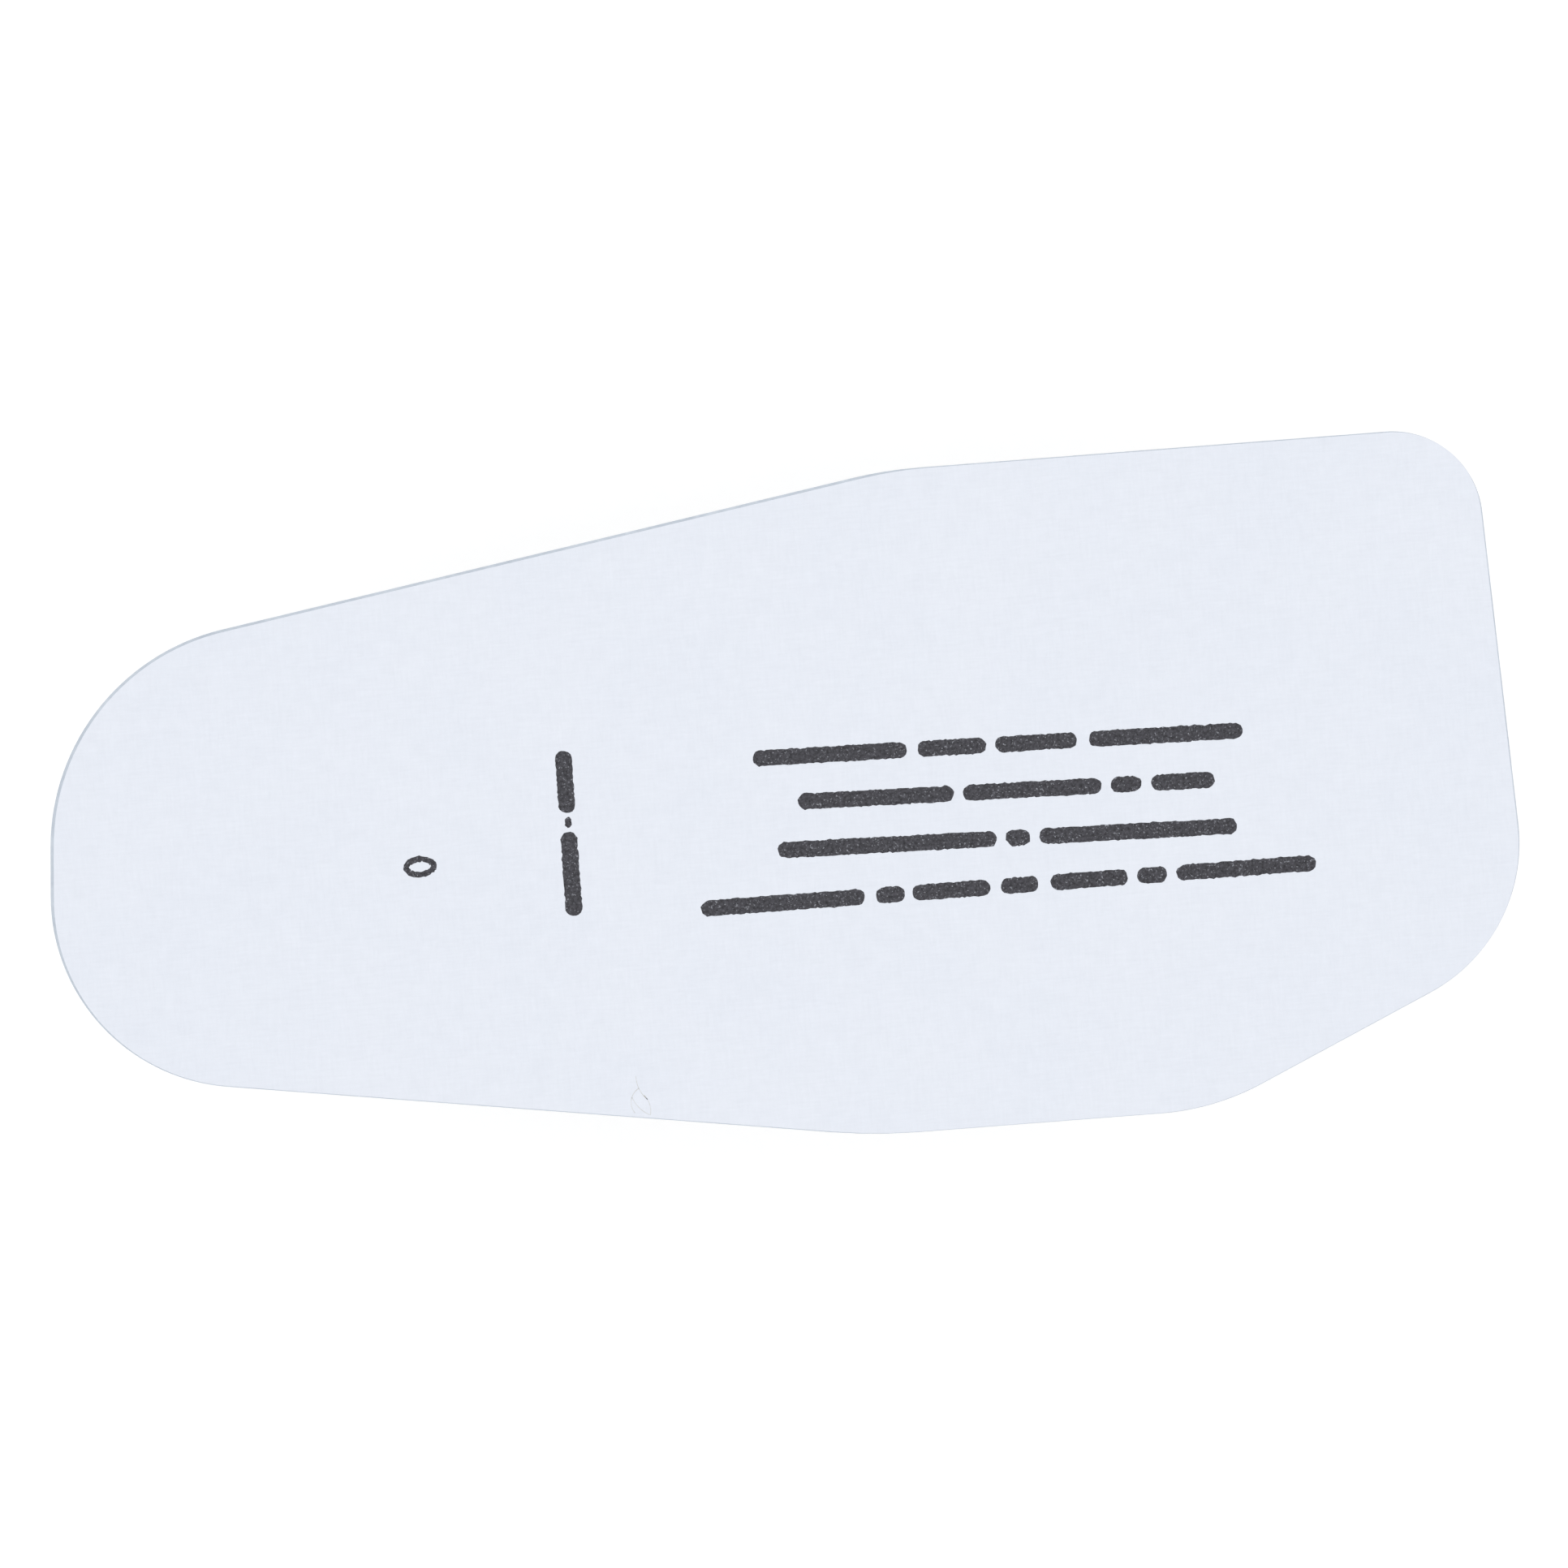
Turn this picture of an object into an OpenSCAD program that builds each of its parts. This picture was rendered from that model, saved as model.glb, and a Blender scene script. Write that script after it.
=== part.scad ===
// Peel-open pack holding a sterile dropper for an eye drop bottle.
// Sizes are in millimetres. +Z is up, with the paper lid on top, and +X runs to the wide end.
// The origin is the middle of the outline, on the plane that the tray stands on.

/* [Pack outline] */
// Distance between the middles of the narrow end and the wide end
pack_length = 90.3; // [75:0.1:110]
// Distance between the two straight edges of the wide part
pack_width = 40.9; // [34:0.1:50]
// Distance between the two tapered edges where they reach the narrow end
narrow_width = 24.8; // [24:0.1:30]
// How far the narrow end's middle lies off the wide part's middle
narrow_offset = -0.49; // [-1:0.01:1]
// Distance from the wide end to the start of the taper on the +Y edge
shoulder_upper = 37.1; // [34:0.1:42]
// Distance from the wide end to the start of the taper on the -Y edge
shoulder_lower = 40.9; // [34:0.1:44]
// Slope of the peel corner's chamfer, in degrees
peel_angle = 24; // [18:1:28]
// Distance from the wide part's middle line to the chamfer's end on the wide end
peel_end = 11.6; // [10.5:0.1:14]
// Lean of the wide end from square, in degrees
wide_end_lean = 2.2; // [0:0.1:4]
// Lean of the narrow end from square, in degrees
narrow_end_lean = 4.2; // [0:0.1:5]

/* [Tray] */
// Thickness of the formed sheet
sheet = 0.5; // [0.4:0.05:0.7]
// Width of the flange from the outline to the pocket
flange_width = 5.2; // [4.6:0.1:5.6]
// Extra width of the flange along the peel corner's chamfer
peel_flap = 2.8; // [2:0.1:3.4]
// Draft of the pocket's walls, in degrees
draft = 6; // [4:0.5:7]
// Radius between the pocket's walls and its floor
floor_round = 2.5; // [1.5:0.1:2.8]
// Length of the tray's small foot under the pipette's tip, from the narrow end
foot_length = 15.15; // [13:0.05:18]
// Lean of the raised floor's two ends, in degrees
bridge_lean = 15; // [10:1:25]

/* [Lid] */
// Thickness of the paper
paper = 0.15; // [0.12:0.01:0.3]
// Distance from the tray's edge to the paper's edge
paper_margin = 0.25; // [0.15:0.05:0.5]
// Thickness of the heat-seal coating between the paper and the flange
seal_film = 0.03; // [0.02:0.01:0.05]
// Distance from the tray's edge to the sealed band
seal_margin = 1; // [0.6:0.1:1.4]
// Distance from the chamfered edge to the sealed band, which leaves a loose flap to pull
seal_flap = 4; // [3:0.1:4.4]

/* [Dropper] */
// Outer diameter of the glass pipette, on which the bulb and the collar are built up
pipette_diameter = 7; // [6:0.1:8.4]
// Wall thickness of the glass pipette
glass_wall = 0.9; // [0.7:0.1:1.2]
// Outer diameter of the pipette's tip
tip_diameter = 3; // [2.6:0.1:4]
// Length of the pipette's tapered tip
tip_length = 12.5; // [8:0.5:16]
// Height of the bead round the pipette's top
bead_height = 0.4; // [0.2:0.1:0.6]
// Length of the rubber bulb past the collar
bulb_length = 21.5; // [17:0.1:26]
// Wall thickness of the bulb
bulb_wall = 1.3; // [1:0.1:1.6]
// Depth of the bulb's groove for the collar's web
groove_depth = 0.45; // [0.3:0.05:0.6]
// How far the bulb's flange reaches past the hole in the collar's web
flange_grip = 1.15; // [0.9:0.05:1.4]
// Length of the collar along the axis
collar_length = 13; // [11:0.1:15.6]
// Thickness of the collar's wall from its bore to its ribs' crests
collar_wall = 1.55; // [1.3:0.05:2]
// Thickness of the collar's end web
web = 1.2; // [0.8:0.1:1.6]
// Number of ribs round the collar
collar_ribs = 48; // [36:1:60]
// Number of thread turns in the collar
thread_turns = 3; // [1:1:3]
// Distance between thread turns
thread_pitch = 2.12; // [1.8:0.01:2.2]

/* [Clearances] */
// Gap between the collar and the tray's floor
collar_gap = 0.3; // [0.2:0.05:0.6]
// Gap between the collar and the lid
headroom = 1.2; // [0.8:0.1:3]
// Gap between the pipette and the raised floor
channel_gap = 0.4; // [0.2:0.05:0.8]
// Gap between a guide pillar and the part that it keeps central
pillar_gap = 0.6; // [0.4:0.05:1]
// Distance from the pocket's rim to the pipette's tip, and from its other end to the bulb
end_gap = 3.45; // [3:0.05:5]
// Gap between the raised floor and the collar
bridge_gap = 0.8; // [0.6:0.1:2]
// Gap between the bulb's neck and the pipette
bulb_fit = 0.02; // [0.01:0.01:0.1]
// Gap between the pipette's bead and the bulb's cavity
bead_gap = 1; // [0.6:0.1:1.4]
// Gap round the bulb's groove in the web's hole
web_gap = 0.2; // [0.1:0.05:0.3]
// Gap on each side of the web between the bulb's flange and its shoulder
flange_gap = 0.05; // [0.03:0.01:0.1]
// Gap between the bulb's flange and the collar's bore
bore_gap = 0.35; // [0.2:0.05:0.5]

/* [Hidden] */

// Steps along a rounded corner, along a profile's arc, and round a turned form
corner_steps = 8;
arc_steps = 9;
$fn = 96;

// A thin slice that a hull spans, and how far a cutting form runs past what it cuts
slice = 0.01;
overrun = 1;

// Corner radii, from the chamfer's lower corner counter-clockwise to the lower shoulder
outline_radii = [15.6, 10.5, 5.6, 26, 13.8, 11.8, 35];
pocket_radii = [12, 8, 7, 20, 7.5, 7.5, 28];
least_radius = 0.6;

// Each straight edge is a point on it and its direction, counter-clockwise from the lower wide edge
wide_x = pack_length / 2;
half_width = pack_width / 2;
taper_upper = atan((half_width - narrow_width / 2 - narrow_offset) / (pack_length - shoulder_upper));
taper_lower = atan((half_width - narrow_width / 2 + narrow_offset) / (pack_length - shoulder_lower));
edges = [
    [[0, -half_width], 0],
    [[wide_x, -peel_end], peel_angle],
    [[wide_x, 0], 90 + wide_end_lean],
    [[0, half_width], 180],
    [[wide_x - shoulder_upper, half_width], 180 + taper_upper],
    [[-wide_x, 0], 270 - narrow_end_lean],
    [[wide_x - shoulder_lower, -half_width], 360 - taper_lower]
];
chamfer = 1;

// Where the line through p at angle a meets the line through q at angle b
function meet(p, a, q, b) =
    p + cross(q - p, [cos(b), sin(b)]) / sin(b - a) * [cos(a), sin(a)];

// A point on edge i after the edge has moved inwards by w
function moved(i, w) = edges[i][0] + w * [-sin(edges[i][1]), cos(edges[i][1])];

// Centre of the rounded corner between edge i and the next one
function corner_centre(i, insets, r) =
    let (j = (i + 1) % len(edges))
    meet(moved(i, insets[i] + r), edges[i][1], moved(j, insets[j] + r), edges[j][1]);

// Angle of the edge after edge i, kept above edge i's own
function next_angle(i) = i + 1 < len(edges) ? edges[i + 1][1] : 360;

// The outline moved inwards edge by edge, with each corner rounded
function ring(insets, radii) = [
    for (i = [0 : len(edges) - 1])
        for (k = [0 : corner_steps])
            let (
                r = max(radii[i], least_radius),
                a = edges[i][1] + (next_angle(i) - edges[i][1]) * k / corner_steps - 90
            )
            corner_centre(i, insets, r) + r * [cos(a), sin(a)]
];

// The same inset for every edge but the chamfer
function insets(w, at_chamfer) = [for (i = [0 : len(edges) - 1]) i == chamfer ? at_chamfer : w];
function smaller(radii, w) = [for (r = radii) r - w];

// The outline's middle, which becomes the origin
raw = ring(insets(0, 0), outline_radii);
raw_x = [for (p = raw) p[0]];
raw_y = [for (p = raw) p[1]];
middle = [(min(raw_x) + max(raw_x)) / 2, (min(raw_y) + max(raw_y)) / 2];
function centred(points) = [for (p = points) p - middle];

function outline(w) = centred(ring(insets(w, w), smaller(outline_radii, w)));
function pocket(w) =
    centred(ring(insets(flange_width + w, flange_width + peel_flap + w), smaller(pocket_radii, w)));

// Dropper radii, built up from the pipette outwards
pipette_radius = pipette_diameter / 2;
neck_radius = pipette_radius + bulb_fit;
cavity_radius = pipette_radius + bead_height + bead_gap;
bulb_radius = cavity_radius + bulb_wall;
groove_radius = bulb_radius - groove_depth;
web_hole_radius = groove_radius + web_gap;
bulb_flange_radius = web_hole_radius + flange_grip;
bore_radius = bulb_flange_radius + bore_gap;
collar_radius = bore_radius + collar_wall;

// Heights: the collar sets how deep the tray is
axis_height = sheet + collar_gap + collar_radius;
tray_depth = axis_height + collar_radius + headroom;
channel_floor = axis_height - pipette_radius - channel_gap;

// Details of the collar, its thread and the bulb that nothing else depends on
collar_body_radius = collar_radius - 0.4;
rib_root_radius = collar_radius - 0.3;
rib_start = 0.6;
rib_end = collar_length - 1.6;
collar_edge = 0.8;
thread_first = 2.6;
thread_height = 0.6;
thread_foot = 0.65;
thread_crest = 0.25;
bulb_flange = 2;
bulb_neck = 8;
bead_length = 1.2;

// Places along the dropper's axis, from the tip in the narrow end to the bulb in the wide end
tip_x = -wide_x + flange_width + end_gap - middle[0];
bulb_end = wide_x - flange_width - end_gap - middle[0];
collar_end = bulb_end - bulb_length;
collar_start = collar_end - collar_length;
bulb_start = collar_end - web - flange_gap - bulb_flange;
bead_start = bulb_start + bulb_neck + cavity_radius - neck_radius + bead_height;
bridge_start = -wide_x + foot_length - middle[0];
bridge_end = collar_start - bridge_gap;

// Guide pillars: place along the axis, half gap between the pair, width and top
collar_pillar = [collar_start + collar_length / 2, collar_radius + pillar_gap, 8, axis_height + 4.2];
pipette_pillar = [(bridge_start + bridge_end) / 2, pipette_radius + pillar_gap, 5, axis_height + 2.2];
pillar_lean = 1.6;

// How far the drafted wall has moved in at height z
function wall_inset(z) = (tray_depth - z) * tan(draft);

// Puts a form turned about +Z on the dropper's axis, starting at x
module on_axis(x) {
    translate([x, 0, axis_height]) rotate([0, 90, 0]) children();
}

// Extrudes points from one height to another
module prism(points, z_from, z_to) {
    translate([0, 0, z_from]) linear_extrude(height = z_to - z_from) polygon(points);
}

// The pocket as a closed form: skin 0 is its inner face and skin = sheet its outer face
module pocket_form(skin, top) {
    bottom = sheet - skin;
    r = floor_round + skin;
    hull() {
        prism(pocket(wall_inset(top) - skin), top, top + slice);
        for (k = [0 : 3]) {
            a = 30 * k;
            z = bottom + r * (1 - cos(a));
            prism(pocket(wall_inset(bottom + r) + r * (1 - sin(a)) - skin), z, z + slice);
        }
    }
}

// The raised floor that runs across the pocket under the pipette
module bridge(skin) {
    top = channel_floor - skin;
    lean = tan(bridge_lean);
    rotate([90, 0, 0]) linear_extrude(height = pack_width, center = true) polygon([
        [bridge_start + skin - (overrun + sheet) * lean, -overrun],
        [bridge_end - skin + (overrun + sheet) * lean, -overrun],
        [bridge_end - skin - (top - sheet) * lean, top],
        [bridge_start + skin + (top - sheet) * lean, top]
    ]);
}

// A pair of pillars pressed inwards from the side walls
module pillars(skin, place) {
    face = place[1] + skin;
    wide = place[2] - 2 * skin;
    top = place[3] - skin;
    for (side = [-1, 1]) {
        scale([1, side, 1]) hull() {
            translate([place[0] - wide / 2, face, -overrun]) cube([wide, half_width, slice]);
            translate([place[0] - wide / 2 + pillar_lean / 2, face + pillar_lean, top])
                cube([wide - pillar_lean, half_width, slice]);
        }
    }
}

// What the tray's sheet rises over: the raised floor and the four guide pillars
module risings(skin) {
    bridge(skin);
    pillars(skin, collar_pillar);
    pillars(skin, pipette_pillar);
}

// The formed clear sheet: a flat flange round one pocket
module blister_tray() {
    color([0.86, 0.89, 0.92, 0.35]) difference() {
        union() {
            prism(outline(0), tray_depth - sheet, tray_depth);
            difference() {
                pocket_form(sheet, tray_depth - sheet / 2);
                risings(sheet);
            }
        }
        difference() {
            pocket_form(0, tray_depth + overrun);
            risings(0);
        }
    }
}

// The flat paper lid, a little smaller than the flange
module lid_paper() {
    color([0.914, 0.929, 0.965])
        prism(outline(paper_margin), tray_depth + seal_film, tray_depth + seal_film + paper);
}

// The heat-seal coating: a closed band that leaves the peel corner's flap loose
module heat_seal_band() {
    outer = centred(ring(insets(seal_margin, seal_flap), smaller(outline_radii, seal_margin)));
    inner = pocket(-sheet);
    color([0.88, 0.9, 0.93]) difference() {
        prism(outer, tray_depth, tray_depth + seal_film);
        prism(inner, tray_depth - overrun, tray_depth + overrun);
    }
}

// The glass tube: a tapered tip, a straight stem and a bead that holds the bulb on
module glass_pipette() {
    tip = tip_diameter / 2;
    bore = pipette_radius - glass_wall;
    bead = bead_start - tip_x;
    color([0.8, 0.88, 0.88, 0.4]) on_axis(tip_x) rotate_extrude() polygon([
        [tip - glass_wall, 0],
        [tip, 0],
        [pipette_radius, tip_length],
        [pipette_radius, bead - bead_height],
        [pipette_radius + bead_height, bead],
        [pipette_radius + bead_height, bead + bead_length - bead_height],
        [pipette_radius, bead + bead_length],
        [bore, bead + bead_length],
        [bore, tip_length]
    ]);
}

// Outline of the collar's hollow, with the threads standing into it
function collar_hollow() = concat(
    [[0, -overrun], [bore_radius, -overrun]],
    [
        for (i = [0 : thread_turns - 1])
            for (s = [[-thread_foot, 0], [-thread_crest, 1], [thread_crest, 1], [thread_foot, 0]])
                [bore_radius - s[1] * thread_height, thread_first + i * thread_pitch + s[0]]
    ],
    [
        [bore_radius, collar_length - web],
        [web_hole_radius, collar_length - web],
        [web_hole_radius, collar_length + overrun],
        [0, collar_length + overrun]
    ]
);

// Outline of the ribs seen along the collar's axis
function rib_outline() = [
    for (i = [0 : collar_ribs - 1])
        for (s = [[-0.32, 0], [-0.18, 1], [0.18, 1], [0.32, 0]])
            let (
                a = 360 * (i + s[0]) / collar_ribs,
                r = s[1] == 1 ? collar_radius : rib_root_radius
            )
            r * [cos(a), sin(a)]
];

// The ribbed screw collar, open towards the tip, with a holed web that traps the bulb's flange
module screw_collar() {
    color([0.93, 0.93, 0.92]) on_axis(collar_start) difference() {
        union() {
            rotate_extrude() polygon([
                [0, 0],
                [collar_body_radius, 0],
                [collar_body_radius, collar_length - collar_edge],
                [collar_body_radius - collar_edge, collar_length],
                [0, collar_length]
            ]);
            prism(rib_outline(), rib_start, rib_end);
        }
        rotate_extrude() polygon(collar_hollow());
    }
}

// A quarter arc from the side of a dome to its top, about a centre on the axis
function dome(r, z) = [for (k = [0 : arc_steps]) [r * cos(90 * k / arc_steps), z + r * sin(90 * k / arc_steps)]];

// The rubber bulb: a flange under the web, a groove in its hole and a hollow dome past it
module rubber_bulb() {
    past_web = bulb_flange + web + 2 * flange_gap;
    centre = bulb_end - bulb_start - bulb_radius;
    color([0.16, 0.16, 0.17]) on_axis(bulb_start) rotate_extrude() polygon(concat(
        [
            [neck_radius, 0],
            [bulb_flange_radius, 0],
            [bulb_flange_radius, bulb_flange],
            [groove_radius, bulb_flange],
            [groove_radius, past_web],
            [bulb_radius, past_web]
        ],
        dome(bulb_radius, centre),
        [for (k = [arc_steps : -1 : 0]) dome(cavity_radius, centre)[k]],
        [[cavity_radius, bulb_neck + cavity_radius - neck_radius], [neck_radius, bulb_neck]]
    ));
}

blister_tray();
lid_paper();
heat_seal_band();
glass_pipette();
screw_collar();
rubber_bulb();
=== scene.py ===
"""Peel-open pack with an eye dropper sealed inside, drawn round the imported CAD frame.

Sizes in the classes are in millimetres, unless their docstring says otherwise, in the CAD's own frame:
+X to the wide end, +Z up out of the paper lid, and the dropper's axis along X. MM turns them into
Blender's metres.
"""
import logging
import math
import random
from dataclasses import dataclass, field
from enum import Enum

import bmesh
import bpy
from bmesh.types import BMEdge, BMesh, BMFace, BMVert
from bpy.types import Material, Node, NodeSocket, NodeTree, Object
from mathutils import Matrix, Vector

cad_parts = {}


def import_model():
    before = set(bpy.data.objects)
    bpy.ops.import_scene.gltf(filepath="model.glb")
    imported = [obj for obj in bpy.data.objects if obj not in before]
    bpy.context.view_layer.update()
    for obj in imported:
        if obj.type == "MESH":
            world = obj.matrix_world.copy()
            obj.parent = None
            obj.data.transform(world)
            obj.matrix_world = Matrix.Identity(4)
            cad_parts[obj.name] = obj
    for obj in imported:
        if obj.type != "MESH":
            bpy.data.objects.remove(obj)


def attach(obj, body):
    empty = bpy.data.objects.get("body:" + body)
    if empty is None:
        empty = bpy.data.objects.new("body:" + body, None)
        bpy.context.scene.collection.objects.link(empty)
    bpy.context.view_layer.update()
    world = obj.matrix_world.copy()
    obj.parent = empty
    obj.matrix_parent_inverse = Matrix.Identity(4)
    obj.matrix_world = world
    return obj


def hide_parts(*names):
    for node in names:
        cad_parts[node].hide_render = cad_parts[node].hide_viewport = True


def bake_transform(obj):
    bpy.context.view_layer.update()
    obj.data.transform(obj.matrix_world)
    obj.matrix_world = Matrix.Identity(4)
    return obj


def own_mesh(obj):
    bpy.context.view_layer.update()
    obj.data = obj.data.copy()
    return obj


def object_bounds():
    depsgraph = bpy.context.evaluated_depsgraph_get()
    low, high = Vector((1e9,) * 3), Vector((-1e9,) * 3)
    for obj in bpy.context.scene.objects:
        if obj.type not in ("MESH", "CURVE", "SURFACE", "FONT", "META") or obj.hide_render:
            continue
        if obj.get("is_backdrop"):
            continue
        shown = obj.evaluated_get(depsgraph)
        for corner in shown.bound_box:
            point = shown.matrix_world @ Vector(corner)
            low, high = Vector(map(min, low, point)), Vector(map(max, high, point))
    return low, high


MM = 0.001
WELD = 1e-7
CLOSE = 1e-6
NARROWEST = 1e-9
DECIMALS = 4
SMALLEST_RADIUS = 0.6
FEWEST_ROUND_STEPS = 6
ROUND_STEPS_PER_MM = 3
TURN_STEPS = 96
HATCH_FINENESS = 390.0
LOG = logging.getLogger("dropper_pack")

Colour = tuple[float, float, float]
Point = tuple[float, float]
Feed = NodeSocket | Colour | float
Numbers = tuple[float, ...]
Values = tuple[tuple[str, float], ...]


# Mesh helpers
def mm(x: float, y: float, z: float) -> Vector:
    """Gives a place in millimetres as a vector in metres."""
    return Vector((x, y, z)) * MM


def heading(degrees: float) -> Vector:
    """Gives the flat unit vector that points at an angle from +X."""
    return Vector((math.cos(math.radians(degrees)), math.sin(math.radians(degrees)), 0.0))


def ease(value: float) -> float:
    """Turns 0 to 1 into 0 to 1 with a soft start and a soft end."""
    value = min(max(value, 0.0), 1.0)
    return value * value * (3.0 - 2.0 * value)


def finished(bm: BMesh, name: str, finishes: list[Material], limit: float = 35.0) -> Object:
    """Turns a bmesh into an object at the origin, shades it and puts its finishes on.

    Args:
        bm: The mesh, in metres. It is freed.
        name: The object's name.
        finishes: The materials, in the order of the faces' material numbers.
        limit: The largest turn between faces that is shaded smooth, in degrees.

    Returns:
        The new object.
    """
    for face in bm.faces:
        face.smooth = True
    for edge in bm.edges:
        edge.smooth = edge.calc_face_angle(0.0) < math.radians(limit)
    mesh = bpy.data.meshes.new(name)
    bm.to_mesh(mesh)
    bm.free()
    piece = bpy.data.objects.new(name, mesh)
    bpy.context.scene.collection.objects.link(piece)
    for finish in finishes:
        mesh.materials.append(finish)
    LOG.info("%s: %d faces", name, len(mesh.polygons))
    return piece


def slice_along(bm: BMesh, places: list[float]) -> None:
    """Cuts a mesh with planes square to X, so that it can bend or step there.

    Args:
        bm: The mesh.
        places: The planes' places along X, in millimetres.
    """
    for place in places:
        bmesh.ops.bisect_plane(
            bm, geom=bm.verts[:] + bm.edges[:] + bm.faces[:], dist=WELD,
            plane_co=mm(place, 0, 0), plane_no=(1, 0, 0),
        )


def thicken_up(bm: BMesh, height: float) -> None:
    """Gives flat faces a thickness upwards and closes their sides.

    Args:
        bm: A mesh that holds flat faces only.
        height: The thickness, in millimetres.
    """
    grown = bmesh.ops.extrude_face_region(bm, geom=bm.faces[:])
    raised = [part for part in grown["geom"] if isinstance(part, BMVert)]
    bmesh.ops.translate(bm, verts=raised, vec=mm(0, 0, height))
    bmesh.ops.recalc_face_normals(bm, faces=bm.faces[:])


def bridge_level(bm: BMesh, rings: list[list[BMEdge]], height: float) -> list[list[BMFace]]:
    """Fills the flat bands between level rings, which are held one above another while they are bridged.

    Bridging rings in one plane can turn one of them over, and then the faces cross the whole outline.

    Args:
        bm: The mesh.
        rings: The rings' edges, from the inside out.
        height: The rings' height, in millimetres.

    Returns:
        The faces of each band, from the inside out.
    """
    verts = [list({vert for edge in ring for vert in edge.verts}) for ring in rings]
    for step, ring in enumerate(verts):
        bmesh.ops.translate(bm, verts=ring, vec=mm(0, 0, step))
    bands = [
        bmesh.ops.bridge_loops(bm, edges=inner + outer)["faces"] for inner, outer in zip(rings, rings[1:])
    ]
    for ring in verts:
        for vert in ring:
            vert.co.z = height * MM
    return bands


def take_in(bm: BMesh, part: BMesh) -> None:
    """Adds a small mesh to a larger one.

    Args:
        bm: The larger mesh.
        part: The small mesh. It is freed.
    """
    carrier = bpy.data.meshes.new("carrier")
    part.to_mesh(carrier)
    part.free()
    bm.from_mesh(carrier)
    bpy.data.meshes.remove(carrier)


# Node helpers and shared effects
class Recipe:
    """A node tree with short ways to add and feed nodes."""

    def __init__(self, tree: NodeTree) -> None:
        """Takes the tree to fill."""
        self.tree = tree

    def put(self, target: NodeSocket, value: Feed) -> None:
        """Links an output to an input, or gives the input a plain value.

        Args:
            target: The input.
            value: The output, or the value. A colour has no alpha.
        """
        if isinstance(value, NodeSocket):
            self.tree.links.new(value, target)
        else:
            target.default_value = (*value, 1.0) if target.type == "RGBA" else value

    def feed(self, node: Node, **values: Feed) -> None:
        """Feeds a node's inputs by socket name, with _ for a space."""
        for label, value in values.items():
            self.put(node.inputs[label.replace("_", " ")], value)

    def add(self, kind: str, *feeds: Feed, **values: object) -> Node:
        """Adds a node.

        Args:
            kind: The node's type name.
            *feeds: What the first inputs get, in their order.
            **values: Settings by attribute name, or what inputs get by socket name with _ for a space.

        Returns:
            The node.
        """
        node = self.tree.nodes.new(kind)
        for name, value in values.items():
            if node.inputs.get(name.replace("_", " ")) is None:
                setattr(node, name, value)
            else:
                self.feed(node, **{name: value})
        for target, value in zip(node.inputs, feeds):
            self.put(target, value)
        return node

    def maths(self, operation: str, *feeds: Feed) -> NodeSocket:
        """Adds a Math node and gives its result."""
        return self.add("ShaderNodeMath", *feeds, operation=operation).outputs["Value"]

    def spread(self, value: NodeSocket, **values: object) -> NodeSocket:
        """Adds a Map Range node and gives its result."""
        return self.add("ShaderNodeMapRange", value, **values).outputs["Result"]

    def mixed(self, mask: Feed, low: Feed, high: Feed, way: str = "MIX") -> NodeSocket:
        """Mixes two colours by a mask.

        Args:
            mask: The mask, from 0 to 1.
            low: The colour where the mask is 0.
            high: The colour where the mask is 1.
            way: How they mix.

        Returns:
            The mixed colour.
        """
        mix = self.add("ShaderNodeMix", mask, data_type="RGBA", blend_type=way)
        self.put(mix.inputs[6], low)
        self.put(mix.inputs[7], high)
        return mix.outputs[2]

    def seen_rays(self) -> NodeSocket:
        """Adds a mask that is 1 where the camera, a glossy piece or a clear piece looks.

        Returns:
            The mask.
        """
        rays = self.add("ShaderNodeLightPath").outputs
        first = self.maths("MAXIMUM", rays["Is Camera Ray"], rays["Is Glossy Ray"])
        return self.maths("MAXIMUM", first, rays["Is Transmission Ray"])


class Effect(Enum):
    """The shared effects, by the name of their node group."""

    CLOUD = "cloud_tone"
    FIBRE = "fibre_height"
    SPECKLE = "speckle_mask"
    HATCH = "hatch_height"


class EffectGroup(Recipe):
    """A shared effect's node group under way, with named inputs and one output."""

    def __init__(self, effect: Effect, **inputs: str) -> None:
        """Starts the group.

        Args:
            effect: The effect.
            **inputs: Each input's kind, by its name with _ for a space.
        """
        super().__init__(bpy.data.node_groups.new(effect.value, "ShaderNodeTree"))
        for label, kind in inputs.items():
            self.socket(label.replace("_", " "), "INPUT", kind)
        self.source = self.add("NodeGroupInput").outputs

    def socket(self, label: str, way: str, kind: str) -> None:
        """Gives the group an input or an output."""
        self.tree.interface.new_socket(name=label, in_out=way, socket_type="NodeSocket" + kind)

    def closed(self, label: str, kind: str, result: NodeSocket) -> NodeTree:
        """Gives the group its output.

        Args:
            label: The output's name.
            kind: The output's kind.
            result: What it puts out.

        Returns:
            The group's tree.
        """
        self.socket(label, "OUTPUT", kind)
        self.add("NodeGroupOutput", result)
        return self.tree


def cloud_group() -> NodeTree:
    """Builds the group that drifts slowly between two tones.

    Returns:
        The group's tree.
    """
    group = EffectGroup(Effect.CLOUD, Vector="Vector", Scale="Float", Tone="Color", Other_Tone="Color")
    source = group.source
    noise = group.add(
        "ShaderNodeTexNoise", Vector=source["Vector"], Scale=source["Scale"], Detail=5.0, Roughness=0.6)
    mask = group.spread(noise.outputs["Fac"], From_Min=0.3, From_Max=0.7)
    return group.closed("Color", "Color", group.mixed(mask, source["Tone"], source["Other Tone"]))


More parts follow.
